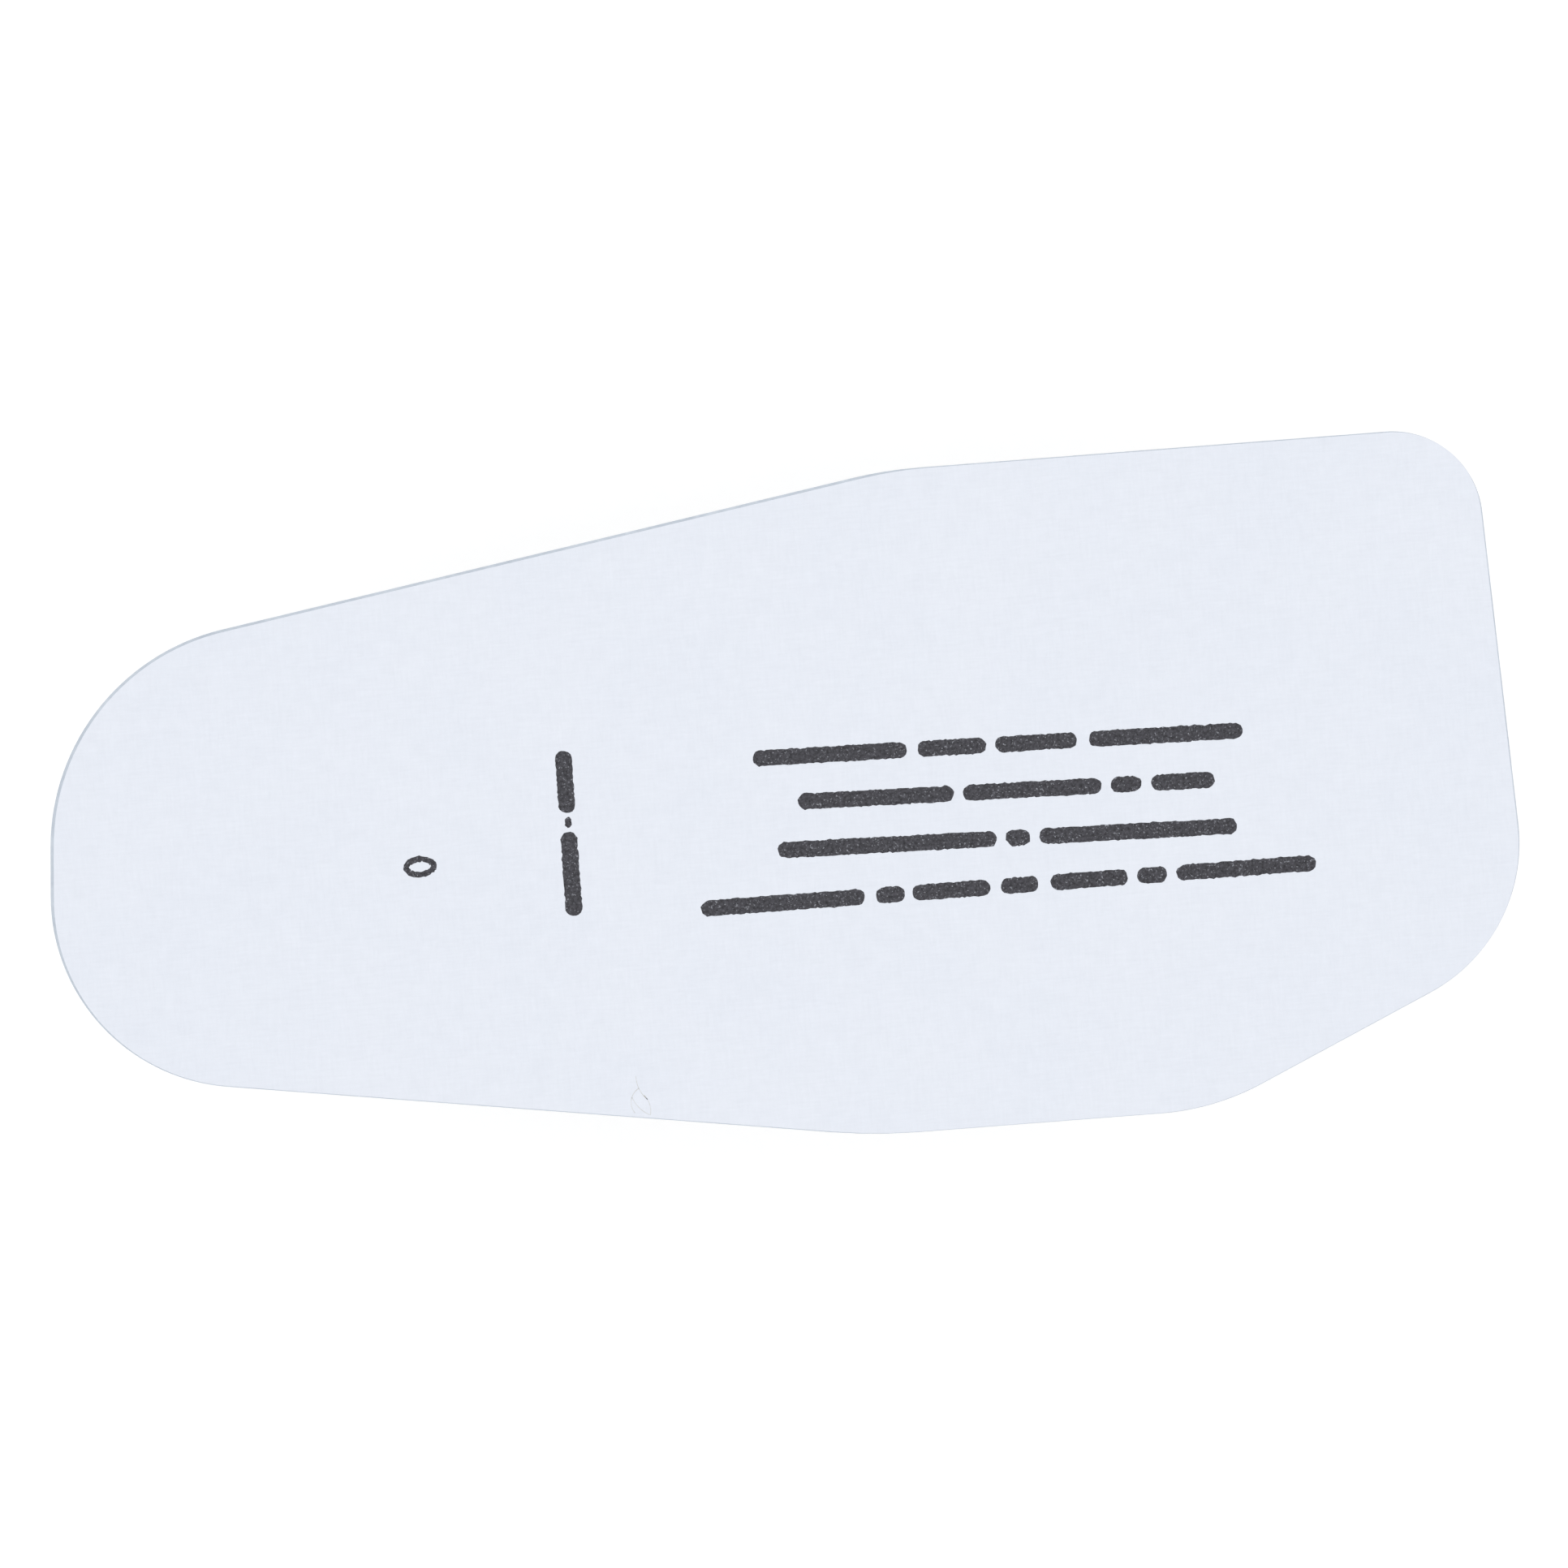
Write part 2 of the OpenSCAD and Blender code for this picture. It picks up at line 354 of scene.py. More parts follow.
def fibre_group() -> NodeTree:
    """Builds the group of fine streaks: paper fibres, or the drawing lines of a moulded face.

    Returns:
        The group's tree.
    """
    group = EffectGroup(Effect.FIBRE, Vector="Vector", Fineness="Float", Stretch="Vector")
    source = group.source
    stretch = group.add("ShaderNodeVectorMath", source["Vector"], source["Stretch"], operation="MULTIPLY")
    fine = group.add(
        "ShaderNodeTexNoise", Vector=stretch.outputs["Vector"], Scale=source["Fineness"],
        Detail=6.0, Roughness=0.65, Distortion=0.4)
    return group.closed("Height", "Float", fine.outputs["Fac"])


def speckle_group() -> NodeTree:
    """Builds the group of small spots: voids in ink, or dust and bloom on rubber.

    Returns:
        The group's tree.
    """
    group = EffectGroup(Effect.SPECKLE, Vector="Vector", Scale="Float", Low="Float", High="Float")
    source = group.source
    noise = group.add(
        "ShaderNodeTexNoise", Vector=source["Vector"], Scale=source["Scale"], Detail=3.0, Roughness=0.7)
    mask = group.spread(
        noise.outputs["Fac"], interpolation_type="SMOOTHSTEP",
        From_Min=source["Low"], From_Max=source["High"])
    return group.closed("Mask", "Float", mask)


def hatch_group() -> NodeTree:
    """Builds the group of crossed ridges that a sealing tool presses in.

    Returns:
        The group's tree.
    """
    group = EffectGroup(Effect.HATCH, Vector="Vector", Fineness="Float")
    waves = []
    for turn in (45.0, -45.0):
        place = group.add(
            "ShaderNodeMapping", Vector=group.source["Vector"], Rotation=(0.0, 0.0, math.radians(turn)))
        wave = group.add(
            "ShaderNodeTexWave", Vector=place.outputs["Vector"], Scale=group.source["Fineness"])
        waves.append(wave.outputs["Fac"])
    return group.closed("Height", "Float", group.maths("MULTIPLY", *waves))


MAKERS = {
    Effect.CLOUD: cloud_group,
    Effect.FIBRE: fibre_group,
    Effect.SPECKLE: speckle_group,
    Effect.HATCH: hatch_group,
}


class Finish(Recipe):
    """A material under way: a Principled shader, Object coordinates and the shared effects."""

    def __init__(self, name: str, **shader: Feed) -> None:
        """Starts a material.

        Args:
            name: The material's name.
            **shader: The Principled shader's values, by socket name with _ for a space.
        """
        self.material = bpy.data.materials.new(name)
        self.material.use_nodes = True
        super().__init__(self.material.node_tree)
        self.shader = self.tree.nodes["Principled BSDF"]
        self.feed(self.shader, **shader)
        self.place = self.add("ShaderNodeTexCoord").outputs["Object"]
        self.normal: NodeSocket | None = None

    def effect(self, kind: Effect, **values: Feed) -> NodeSocket:
        """Places a shared effect with its own values.

        Args:
            kind: The effect.
            **values: What its inputs get, by socket name with _ for a space.

        Returns:
            The effect's output.
        """
        node = self.tree.nodes.new("ShaderNodeGroup")
        node.node_tree = bpy.data.node_groups.get(kind.value) or MAKERS[kind]()
        self.feed(node, Vector=self.place, **values)
        return node.outputs[0]

    def cloud(self, scale: float, tone: Colour, other: Colour) -> NodeSocket:
        """Places the drift between two tones."""
        return self.effect(Effect.CLOUD, Scale=scale, Tone=tone, Other_Tone=other)

    def fibres(self, *stretch: float) -> NodeSocket:
        """Places the streaks, with their fineness along each axis."""
        return self.effect(Effect.FIBRE, Fineness=1.0, Stretch=stretch)

    def speckle(self, scale: float, low: float, high: float) -> NodeSocket:
        """Places the spots, with the levels between which they fade in."""
        return self.effect(Effect.SPECKLE, Scale=scale, Low=low, High=high)

    def colour(self, source: NodeSocket) -> None:
        """Gives the shader its colour."""
        self.feed(self.shader, Base_Color=source)

    def gloss(self, mask: NodeSocket, low: float, high: float) -> None:
        """Spreads the roughness between two values by a mask."""
        self.feed(self.shader, Roughness=self.spread(mask, To_Min=low, To_Max=high))

    def relief(self, height: NodeSocket, depth: float, strength: float) -> None:
        """Adds a bump from a height, on top of the bump before it.

        Args:
            height: The height, from 0 to 1.
            depth: How deep it is, in millimetres.
            strength: The bump's strength.
        """
        bump = self.add("ShaderNodeBump", Height=height, Strength=strength, Distance=depth * MM)
        if self.normal is not None:
            self.feed(bump, Normal=self.normal)
        self.normal = bump.outputs["Normal"]
        self.feed(self.shader, Normal=self.normal)

    def let_lamps_through(self, tint: Colour) -> None:
        """Lets the lamps' light pass a clear piece, so that it casts a light shadow.

        Args:
            tint: The colour that the light takes on.
        """
        rays = self.add("ShaderNodeLightPath").outputs
        clear = self.add("ShaderNodeBsdfTransparent", Color=tint).outputs
        mix = self.add(
            "ShaderNodeMixShader", rays["Is Shadow Ray"], self.shader.outputs["BSDF"], clear["BSDF"])
        self.feed(self.tree.nodes["Material Output"], Surface=mix.outputs["Shader"])


# Finishes
@dataclass(frozen=True)
class GrainedFinish:
    """A finish that drifts between two tones, with a grain in its gloss and its relief."""

    name: str
    tone: Colour
    other: Colour
    drift: float
    grain: Numbers
    gloss: Point
    relief: Point
    shader: Values

    def material(self) -> Material:
        """Builds the material.

        Returns:
            The material.
        """
        finish = Finish(self.name, **dict(self.shader))
        finish.colour(finish.cloud(self.drift, self.tone, self.other))
        grain = finish.fibres(*self.grain)
        finish.gloss(grain, *self.gloss)
        finish.relief(grain, *self.relief)
        return finish.material


@dataclass(frozen=True)
class PaintedCreaseShade(GrainedFinish):
    """Paper greyed along a fold: a painted shade that darkens the crease's hairlines."""

    name: str = "creased_paper"
    # tone and other are greys of painted shade in the crease, not the paper's own colour.
    tone: Colour = (0.60, 0.60, 0.58)
    other: Colour = (0.75, 0.77, 0.80)
    drift: float = 2600.0
    grain: Numbers = (6000.0, 6000.0, 800.0)
    gloss: Point = (0.6, 0.8)
    relief: Point = (0.01, 0.4)
    shader: Values = (("Specular_IOR_Level", 0.25),)


@dataclass(frozen=True)
class ShadedCutEdge(GrainedFinish):
    """The die-cut rim of the sheet: the same plastic, frosted, with a painted shade in its grey-blue tone
    that gives the dark line a clear edge shows.
    """

    name: str = "die_cut_edge"
    # tone and other: the grey-blue of a painted shade on the cut rim; the frosting is in the gloss.
    tone: Colour = (0.44, 0.50, 0.58)
    other: Colour = (0.56, 0.62, 0.69)
    drift: float = 450.0
    grain: Numbers = (2500.0, 2500.0, 400.0)
    gloss: Point = (0.3, 0.55)
    relief: Point = (0.02, 0.5)
    shader: Values = (("Transmission_Weight", 0.2), ("IOR", 1.5), ("Metallic", 0.0))


@dataclass(frozen=True)
class CollarPlastic(GrainedFinish):
    """White moulded plastic with a satin face."""

    name: str = "collar_plastic_finish"
    tone: Colour = (0.86, 0.86, 0.84)
    other: Colour = (0.81, 0.81, 0.79)
    drift: float = 260.0
    grain: Numbers = (3200.0, 3200.0, 3200.0)
    gloss: Point = (0.3, 0.5)
    relief: Point = (0.012, 0.4)
    shader: Values = (("Specular_IOR_Level", 0.5), ("IOR", 1.49))


@dataclass(frozen=True)
class ClearFinish:
    """A clear finish whose colour is darkened where it is seen edge-on: a painted shade that stands in for
    the deeper tint of the wall, thicker to look through there.
    """

    name: str
    tint: Colour
    shade: Colour
    gloss: Point
    relief: Point
    # edge is the colour of the painted shade that the finish turns to where it is seen edge-on.
    edge: Colour = (0.60, 0.67, 0.71)
    edge_shade_reach: float = 0.28
    ior: float = 1.57

    def surface(self, finish: Finish) -> tuple[NodeSocket, NodeSocket]:
        """Gives the mask of the gloss and the height of the relief."""
        raise NotImplementedError

    def material(self) -> Material:
        """Builds the material.

        Returns:
            The material.
        """
        finish = Finish(self.name, Transmission_Weight=1.0, IOR=self.ior, Metallic=0.0)
        # Painted shade: the colour turns towards the edge tone as the face turns away from the camera.
        facing = finish.add("ShaderNodeLayerWeight", Blend=self.edge_shade_reach).outputs["Facing"]
        finish.colour(finish.mixed(facing, self.tint, self.edge))
        mask, height = self.surface(finish)
        finish.gloss(mask, *self.gloss)
        finish.relief(height, *self.relief)
        finish.let_lamps_through(self.shade)
        return finish.material


@dataclass(frozen=True)
class ClearSheet(ClearFinish):
    """Clear formed plastic with the soft waves that forming leaves."""

    name: str = "clear_formed_sheet"
    tint: Colour = (0.89, 0.92, 0.935)
    shade: Colour = (0.86, 0.89, 0.91)
    gloss: Point = (0.005, 0.035)
    relief: Point = (0.12, 0.25)
    haze: Numbers = (500.0, 0.3, 0.8)
    waves: Numbers = (160.0, 160.0, 90.0)

    def surface(self, finish: Finish) -> tuple[NodeSocket, NodeSocket]:
        """Gives a haze for the gloss and the forming waves for the relief."""
        return finish.speckle(*self.haze), finish.fibres(*self.waves)


@dataclass(frozen=True)
class SealedFlange(ClearFinish):
    """The clear flange where the lid was sealed on: a little hazy, with the sealing tool's ridges in it."""

    name: str = "sealed_flange"
    tint: Colour = (0.86, 0.90, 0.925)
    shade: Colour = (0.84, 0.88, 0.90)
    gloss: Point = (0.08, 0.2)
    relief: Point = (0.04, 0.35)

    def surface(self, finish: Finish) -> tuple[NodeSocket, NodeSocket]:
        """Gives the ridges for both."""
        return (finish.effect(Effect.HATCH, Fineness=HATCH_FINENESS),) * 2


@dataclass(frozen=True)
class PipetteGlass(ClearFinish):
    """Soda glass tube, almost colourless, with faint drawing lines along it."""

    name: str = "pipette_glass_finish"
    tint: Colour = (0.93, 0.97, 0.96)
    shade: Colour = (0.80, 0.86, 0.85)
    gloss: Point = (0.0, 0.03)
    relief: Point = (0.03, 0.25)
    # The glass's painted edge shade, greener than the sheet's.
    edge: Colour = (0.58, 0.70, 0.68)
    edge_shade_reach: float = 0.35
    ior: float = 1.5
    lines: Numbers = (60.0, 900.0, 900.0)

    def surface(self, finish: Finish) -> tuple[NodeSocket, NodeSocket]:
        """Gives the drawing lines for both."""
        return (finish.fibres(*self.lines),) * 2


@dataclass(frozen=True)
class LidPaper:
    """Coated paper: a cool white with a faint cloud, and fibres that run along and across the pack."""

    tone: Colour = (0.799, 0.833, 0.906)
    cloud: Colour = (0.783, 0.820, 0.898)
    drift: float = 110.0
    across: Numbers = (5000.0, 800.0, 800.0)
    along: Numbers = (700.0, 5400.0, 800.0)
    fibre_range: Point = (0.7, 1.3)
    fibre_contrast: float = 0.026
    fibre_relief: Point = (0.018, 0.4)
    mottle: Numbers = (900.0, 0.35, 0.7)
    mottle_relief: Point = (0.012, 0.3)
    gloss: Point = (0.58, 0.68)

    def material(self) -> Material:
        """Builds the material.

        Returns:
            The material.
        """
        finish = Finish("lid_paper_finish", Specular_IOR_Level=0.28)
        fibres = finish.maths("ADD", finish.fibres(*self.across), finish.fibres(*self.along))
        level = finish.spread(
            fibres, From_Min=self.fibre_range[0], From_Max=self.fibre_range[1],
            To_Min=1.0 - self.fibre_contrast, To_Max=1.0 + self.fibre_contrast)
        cloud = finish.cloud(self.drift, self.tone, self.cloud)
        finish.colour(finish.mixed(1.0, cloud, level, "MULTIPLY"))
        mottle = finish.speckle(*self.mottle)
        finish.gloss(mottle, *self.gloss)
        finish.relief(mottle, *self.mottle_relief)
        finish.relief(fibres, *self.fibre_relief)
        return finish.material


@dataclass(frozen=True)
class StampInk:
    """Dark grey ink from a plate: spotted with small voids where the paper's fibres show."""

    dark: Colour = (0.010, 0.010, 0.013)
    light: Colour = (0.075, 0.074, 0.088)
    bare: Colour = (0.34, 0.35, 0.39)
    drift: float = 5200.0
    voids: Numbers = (7500.0, 0.58, 0.7)
    gloss: Point = (0.5, 0.65)
    relief: Point = (0.004, 0.5)

    def material(self) -> Material:
        """Builds the material.

        Returns:
            The material.
        """
        finish = Finish("stamp_ink", Specular_IOR_Level=0.12)
        voids = finish.speckle(*self.voids)
        tone = finish.cloud(self.drift, self.dark, self.light)
        finish.colour(finish.mixed(voids, tone, self.bare))
        finish.gloss(voids, *self.gloss)
        finish.relief(voids, *self.relief)
        return finish.material


@dataclass(frozen=True)
class SealCoating:
    """Heat-seal coating with the cross-hatched print of the sealing tool."""

    tone: Colour = (0.80, 0.84, 0.90)
    pressed: Colour = (0.70, 0.75, 0.82)
    gloss: Point = (0.3, 0.45)
    relief: Point = (0.05, 0.6)

    def material(self) -> Material:
        """Builds the material.

        Returns:
            The material.
        """
        finish = Finish("heat_seal_coating", Specular_IOR_Level=0.5)
        hatch = finish.effect(Effect.HATCH, Fineness=HATCH_FINENESS)
        finish.colour(finish.mixed(hatch, self.pressed, self.tone))
        finish.gloss(hatch, *self.gloss)
        finish.relief(hatch, *self.relief)
        return finish.material


@dataclass(frozen=True)
class BulbRubber:
    """Black rubber with a fine grain, a pale bloom in spots and the mould's parting line."""

    tone: Colour = (0.019, 0.019, 0.021)
    bloom: Colour = (0.05, 0.05, 0.052)
    spots: Numbers = (340.0, 0.42, 0.75)
    grain: Numbers = (5200.0, 5200.0, 5200.0)
    grain_relief: Point = (0.012, 0.5)
    gloss: Point = (0.48, 0.66)
    line_width: float = 0.16
    line_relief: Point = (0.06, 0.7)

    def material(self) -> Material:
        """Builds the material.

        Returns:
            The material.
        """
        finish = Finish("bulb_rubber_finish", Specular_IOR_Level=0.45)
        bloom = finish.speckle(*self.spots)
        finish.colour(finish.mixed(bloom, self.tone, self.bloom))
        finish.gloss(bloom, *self.gloss)
        across = finish.add("ShaderNodeSeparateXYZ", finish.place).outputs["Y"]
        line = finish.spread(
            finish.maths("ABSOLUTE", across), interpolation_type="SMOOTHSTEP",
            From_Min=self.line_width * MM, From_Max=0.0, To_Min=0.0, To_Max=1.0)
        finish.relief(line, *self.line_relief)
        finish.relief(finish.fibres(*self.grain), *self.grain_relief)
        return finish.material


@dataclass(frozen=True)
class PaleFloor:
    """A pale floor that the camera, glossy and clear pieces see as white, and that keeps the shadow."""

    tone: Colour = (0.8, 0.8, 0.8)
    glow: Colour = (1.0, 1.0, 1.0)
    lift: float = 0.3

    def material(self) -> Material:
        """Builds the material.

        Returns:
            The material.
        """
        finish = Finish(
            "pale_floor", Base_Color=self.tone, Roughness=0.9, Specular_IOR_Level=0.0,
            Emission_Color=self.glow)
        strength = finish.maths("MULTIPLY", finish.seen_rays(), self.lift)
        finish.feed(finish.shader, Emission_Strength=strength)
        return finish.material


# The pack's outline
class Side(Enum):
    """The outline's straight sides, counter-clockwise from the lower wide one."""

    LOWER = 0
    CHAMFER = 1
    WIDE_END = 2
    UPPER = 3
    UPPER_TAPER = 4
    NARROW_END = 5
    LOWER_TAPER = 6


Insets = dict[Side, float]


@dataclass(frozen=True)
class CardOutline:
    """The outline that the tray's flange, its pocket, the lid and the seal share."""

    length: float = 90.3
    width: float = 40.9
    narrow_width: float = 24.8
    narrow_offset: float = -0.49
    shoulder_upper: float = 37.1
    shoulder_lower: float = 40.9
    peel_angle: float = 24.0
    peel_end: float = 11.6
    wide_end_lean: float = 2.2
    narrow_end_lean: float = 4.2
    middle: float = 0.015
    radii: Numbers = (15.6, 10.5, 5.6, 26.0, 13.8, 11.8, 35.0)
    pocket_radii: Numbers = (12.0, 8.0, 7.0, 20.0, 7.5, 7.5, 28.0)
    arc_step: float = 2.5
    fewest_steps: int = 3

    def sides(self) -> list[tuple[Vector, float]]:
        """Places the straight sides.

        Returns:
            A point on each side and the side's direction, in degrees.
        """
        end, half = self.length / 2, self.width / 2
        rise = half - self.narrow_width / 2
        upper = math.degrees(math.atan((rise - self.narrow_offset) / (self.length - self.shoulder_upper)))
        lower = math.degrees(math.atan((rise + self.narrow_offset) / (self.length - self.shoulder_lower)))
        return [
            (Vector((0, -half, 0)), 0.0),
            (Vector((end, -self.peel_end, 0)), self.peel_angle),
            (Vector((end, 0, 0)), 90.0 + self.wide_end_lean),
            (Vector((0, half, 0)), 180.0),
            (Vector((end - self.shoulder_upper, half, 0)), 180.0 + upper),
            (Vector((-end, 0, 0)), 270.0 - self.narrow_end_lean),
            (Vector((end - self.shoulder_lower, -half, 0)), 360.0 - lower),
        ]

    def corner(self, number: int, insets: Insets, radius: float) -> tuple[Vector, float, float]:
        """Finds the rounded corner after a side.

        Args:
            number: The side's number.
            insets: How far each side has moved in.
            radius: The corner's radius.

        Returns:
            The arc's centre, the direction from it to the arc's start, and how far the arc turns.
        """
        sides = self.sides()
        after = (number + 1) % len(sides)
        (p, a), (q, b) = sides[number], sides[after]
        turn = (b - a) % 360.0
        p = p + heading(a + 90.0) * (insets[Side(number)] + radius)
        q = q + heading(b + 90.0) * (insets[Side(after)] + radius)
        along, other = heading(a), heading(b)
        reach = (q - p).cross(other).z / along.cross(other).z
        return p + along * reach - Vector((self.middle, 0, 0)), a - 90.0, turn

    def loop(self, bm: BMesh, insets: Insets, radii: Numbers, z: float) -> list[BMEdge]:
        """Draws the outline as a closed loop: each corner is a vertex spun about its centre.

        Args:
            bm: The mesh to draw in.
            insets: How far each side has moved in.
            radii: The corners' radii.
            z: The loop's height, in millimetres.

        Returns:
            The loop's edges.
        """
        before = set(bm.edges)
        arcs: list[tuple[BMVert, BMVert]] = []
        for number in range(len(self.sides())):
            centre, from_angle, turn = self.corner(number, insets, radii[number])
            start = centre + heading(from_angle) * radii[number]
            seed = bm.verts.new(mm(start.x, start.y, z))
            arc = bmesh.ops.spin(
                bm, geom=[seed], cent=mm(centre.x, centre.y, z), axis=(0, 0, 1), dvec=(0, 0, 0),
                angle=math.radians(turn),
                steps=max(self.fewest_steps, round(turn / self.arc_step)), use_duplicate=False)
            arcs.append((seed, next(v for v in arc["geom_last"] if isinstance(v, BMVert))))
        for (_, end), (start_of_next, _) in zip(arcs, arcs[1:] + arcs[:1]):
            bm.edges.new((end, start_of_next))
        return [edge for edge in bm.edges if edge not in before]

    def even(self, inset: float, at_chamfer: float) -> Insets:
        """Gives the same inset for every side but the chamfer."""
        return {side: at_chamfer if side is Side.CHAMFER else inset for side in Side}


def shrunk(radii: Numbers, inset: float) -> Numbers:
    """Gives the radii of an outline that has moved in."""
    return tuple(max(radius - inset, SMALLEST_RADIUS) for radius in radii)


# Tray
@dataclass(frozen=True)
class GuidePillar:
    """A pair of pillars pressed in from the pocket's side walls."""

    place: float
    half_gap: float
    width: float
    top: float
    lean: float = 1.6
    soft: float = 2.2
    soft_inside: float = 0.6
    soft_span: float = 1.25
    head_inside: float = 0.7
    head_span: float = 1.4
    cuts_per_soft: int = 7
    cut_count: int = 10

    def cuts(self) -> list[float]:
        """Finds where the sheet needs edges to form the pillars.

        Returns:
            The places along X.
        """
        reach = self.width / 2
        steps = [k / self.cuts_per_soft - self.soft_inside for k in range(self.cut_count)]
        shares = [reach + self.soft * step for step in steps]
        return [self.place + side * share for side in (-1, 1) for share in shares] + [self.place]

    def pressed(self, spot: Vector) -> float:
        """Finds how far in the pillar presses a point of the wall.

        Args:
            spot: The point, in millimetres.

        Returns:
            The point's new distance from the pack's middle plane.
        """
        away = abs(spot.y)
        face = self.half_gap + self.lean * max(spot.z, 0.0) / self.top
        if away <= face:
            return away
        past_side = abs(spot.x - self.place) - self.width / 2
        beside = 1.0 - ease((past_side + self.soft * self.soft_inside) / (self.soft * self.soft_span))
        above = 1.0 - ease((spot.z - self.top + self.head_inside) / self.head_span)
        return away - (away - face) * beside * above


class TrayFinish(Enum):
    """The tray's finishes, by the number of their material."""

    CLEAR = 0
    CUT_EDGE = 1
    SEALED = 2
# The die-cut rim: frosted, and darkened by painted shade.


@dataclass
class FormedTray:
    """The clear tray: one sheet with a flat flange, a pocket, a raised floor and guide pillars."""

    outline: CardOutline
    top: float = 20.0
    sheet: float = 0.5
    edge_inset: float = 0.03
    # Width of the band on top of the flange, at the rim, that takes the cut edge's frosted finish and painted
    # shade.
    frosted_shade_band: float = 0.3
    edge_tilt: float = 0.2
    edge_slack: float = 0.01
    seal_margin: float = 1.0
    seal_flap: float = 4.0
    seal_inner: float = 4.0
    seal_inner_flap: float = 6.8
    flange: float = 5.2
    peel_flap: float = 2.8
    draft: float = 6.0
    rim_round: float = 0.8
    floor_round: float = 2.5
    raised_floor: float = 5.9
    ramp_from: float = -30.015
    ramp_to: float = 1.185
    ramp_lean: float = 15.0
    ramp_round: float = 1.2
    ramp_steps: int = 6
    rim_ease: float = 0.12
    floor_ease: float = 0.15
    rim_steps: int = 7
    wall_rows: int = 27
    floor_steps: int = 8
    unlifted: float = 1.5
    pillar_reach: float = 2.0
    smooth_rounds: int = 3
    smooth_share: float = 0.4
    more_cuts: Numbers = (-25.0, -20.0, -5.0, 18.0, 23.0, 28.0)
    pillars: tuple[GuidePillar, ...] = (
        GuidePillar(place=8.485, half_gap=9.6, width=8.0, top=14.0),
        GuidePillar(place=-14.415, half_gap=4.1, width=5.0, top=12.0),
    )
    ramp_profile: list[Point] = field(init=False)

    def __post_init__(self) -> None:
        """Works out the raised floor's profile."""
        self.ramp_profile = self.ramp(self.ramp_from, 1.0) + self.ramp(self.ramp_to, -1.0)[::-1]

    def ramp(self, foot: float, way: float) -> list[Point]:
        """Gives one ramp's profile from the low floor to the raised one.

        Args:
            foot: The ramp's foot along X.
            way: 1 if the ramp rises towards +X, -1 if it rises towards -X.

        Returns:
            Places along X and the floor's height at each.
        """
        steep, r = 90.0 - self.ramp_lean, self.ramp_round
        reach = r * math.tan(math.radians(steep / 2))
        rise = self.raised_floor - self.sheet
        head = rise * math.tan(math.radians(self.ramp_lean))
        angles = [math.radians(steep * k / self.ramp_steps) for k in range(self.ramp_steps + 1)]
        low = [(-reach + r * math.sin(a), r * (1 - math.cos(a))) for a in angles]
        high = [(head + reach - r * math.sin(a), rise - r * (1 - math.cos(a))) for a in reversed(angles)]
        return [(foot + way * x, self.sheet + z) for x, z in low + high]

    def floor_at(self, x: float) -> float:
        """Finds the inner floor's height.

        Args:
            x: The place along X.

        Returns:
            The height.
        """
        profile = self.ramp_profile
        if x <= profile[0][0] or x >= profile[-1][0]:
            return self.sheet
        for (x0, z0), (x1, z1) in zip(profile, profile[1:]):
            if x <= x1:
                return z0 + (z1 - z0) * (x - x0) / max(x1 - x0, NARROWEST)
        return self.sheet

    def wall_steps(self) -> list[Point]:
        """Steps down the pocket's wall from rim to floor.

        Returns:
            The moves inwards and down.
        """
        upright = 90.0 - self.draft
        places = [(0.0, 0.0), (self.rim_ease, 0.0)]
        for k in range(1, self.rim_steps + 1):
            a = math.radians(upright * k / self.rim_steps)
            places.append((self.rim_ease + self.rim_round * math.sin(a), self.rim_round * (1 - math.cos(a))))
        start = places[-1]
        low = self.top - self.sheet - self.floor_round * (1 - math.cos(math.radians(upright)))
        for k in range(1, self.wall_rows + 1):
            down = (low - start[1]) * k / self.wall_rows
            places.append((start[0] + down * math.tan(math.radians(self.draft)), start[1] + down))
        inner = places[-1]
        for k in range(1, self.floor_steps + 1):
            a = math.radians(upright * (1 - k / self.floor_steps))
            places.append((
                inner[0] + self.floor_round * (math.sin(math.radians(upright)) - math.sin(a)),
                self.top - self.sheet - self.floor_round * (1 - math.cos(a)),
            ))
        places.append((places[-1][0] + self.floor_ease, places[-1][1]))
        return [(b[0] - a[0], b[1] - a[1]) for a, b in zip(places, places[1:])]

    def sunk_pocket(self, bm: BMesh) -> list[BMEdge]:
        """Draws the pocket's rim and insets its face step by step down to the floor.

        Args:
            bm: The mesh to draw in.

        Returns:
            The rim's edges.
        """
        out = self.rim_round * math.tan(math.radians((90.0 - self.draft) / 2)) + self.rim_ease
        insets = self.outline.even(self.flange - out, self.flange + self.peel_flap - out)
        rim = self.outline.loop(bm, insets, shrunk(self.outline.pocket_radii, -out), self.top)
        face = bmesh.ops.contextual_create(bm, geom=rim)["faces"][0]
        face.normal_update()
        if face.normal.z < 0:
            face.normal_flip()
        for inward, down in self.wall_steps():
            face.normal_update()
            if inward > 0:
                bmesh.ops.inset_region(
                    bm, faces=[face], thickness=inward * MM, depth=0.0,
                    use_even_offset=True, use_boundary=True)
            bmesh.ops.translate(bm, verts=face.verts[:], vec=mm(0, 0, -down))
        return [edge for edge in bm.edges if edge.is_boundary]

    def lift_floor(self, bm: BMesh) -> None:
        """Raises the floor and the wall over it between the two ramps.

        Args:
            bm: The sheet.
        """
        fixed = self.top - self.unlifted
        for vert in bm.verts:
            z = vert.co.z / MM
            if z < fixed:
                floor = self.floor_at(vert.co.x / MM)
                vert.co.z = (floor + (z - self.sheet) * (fixed - floor) / (fixed - self.sheet)) * MM

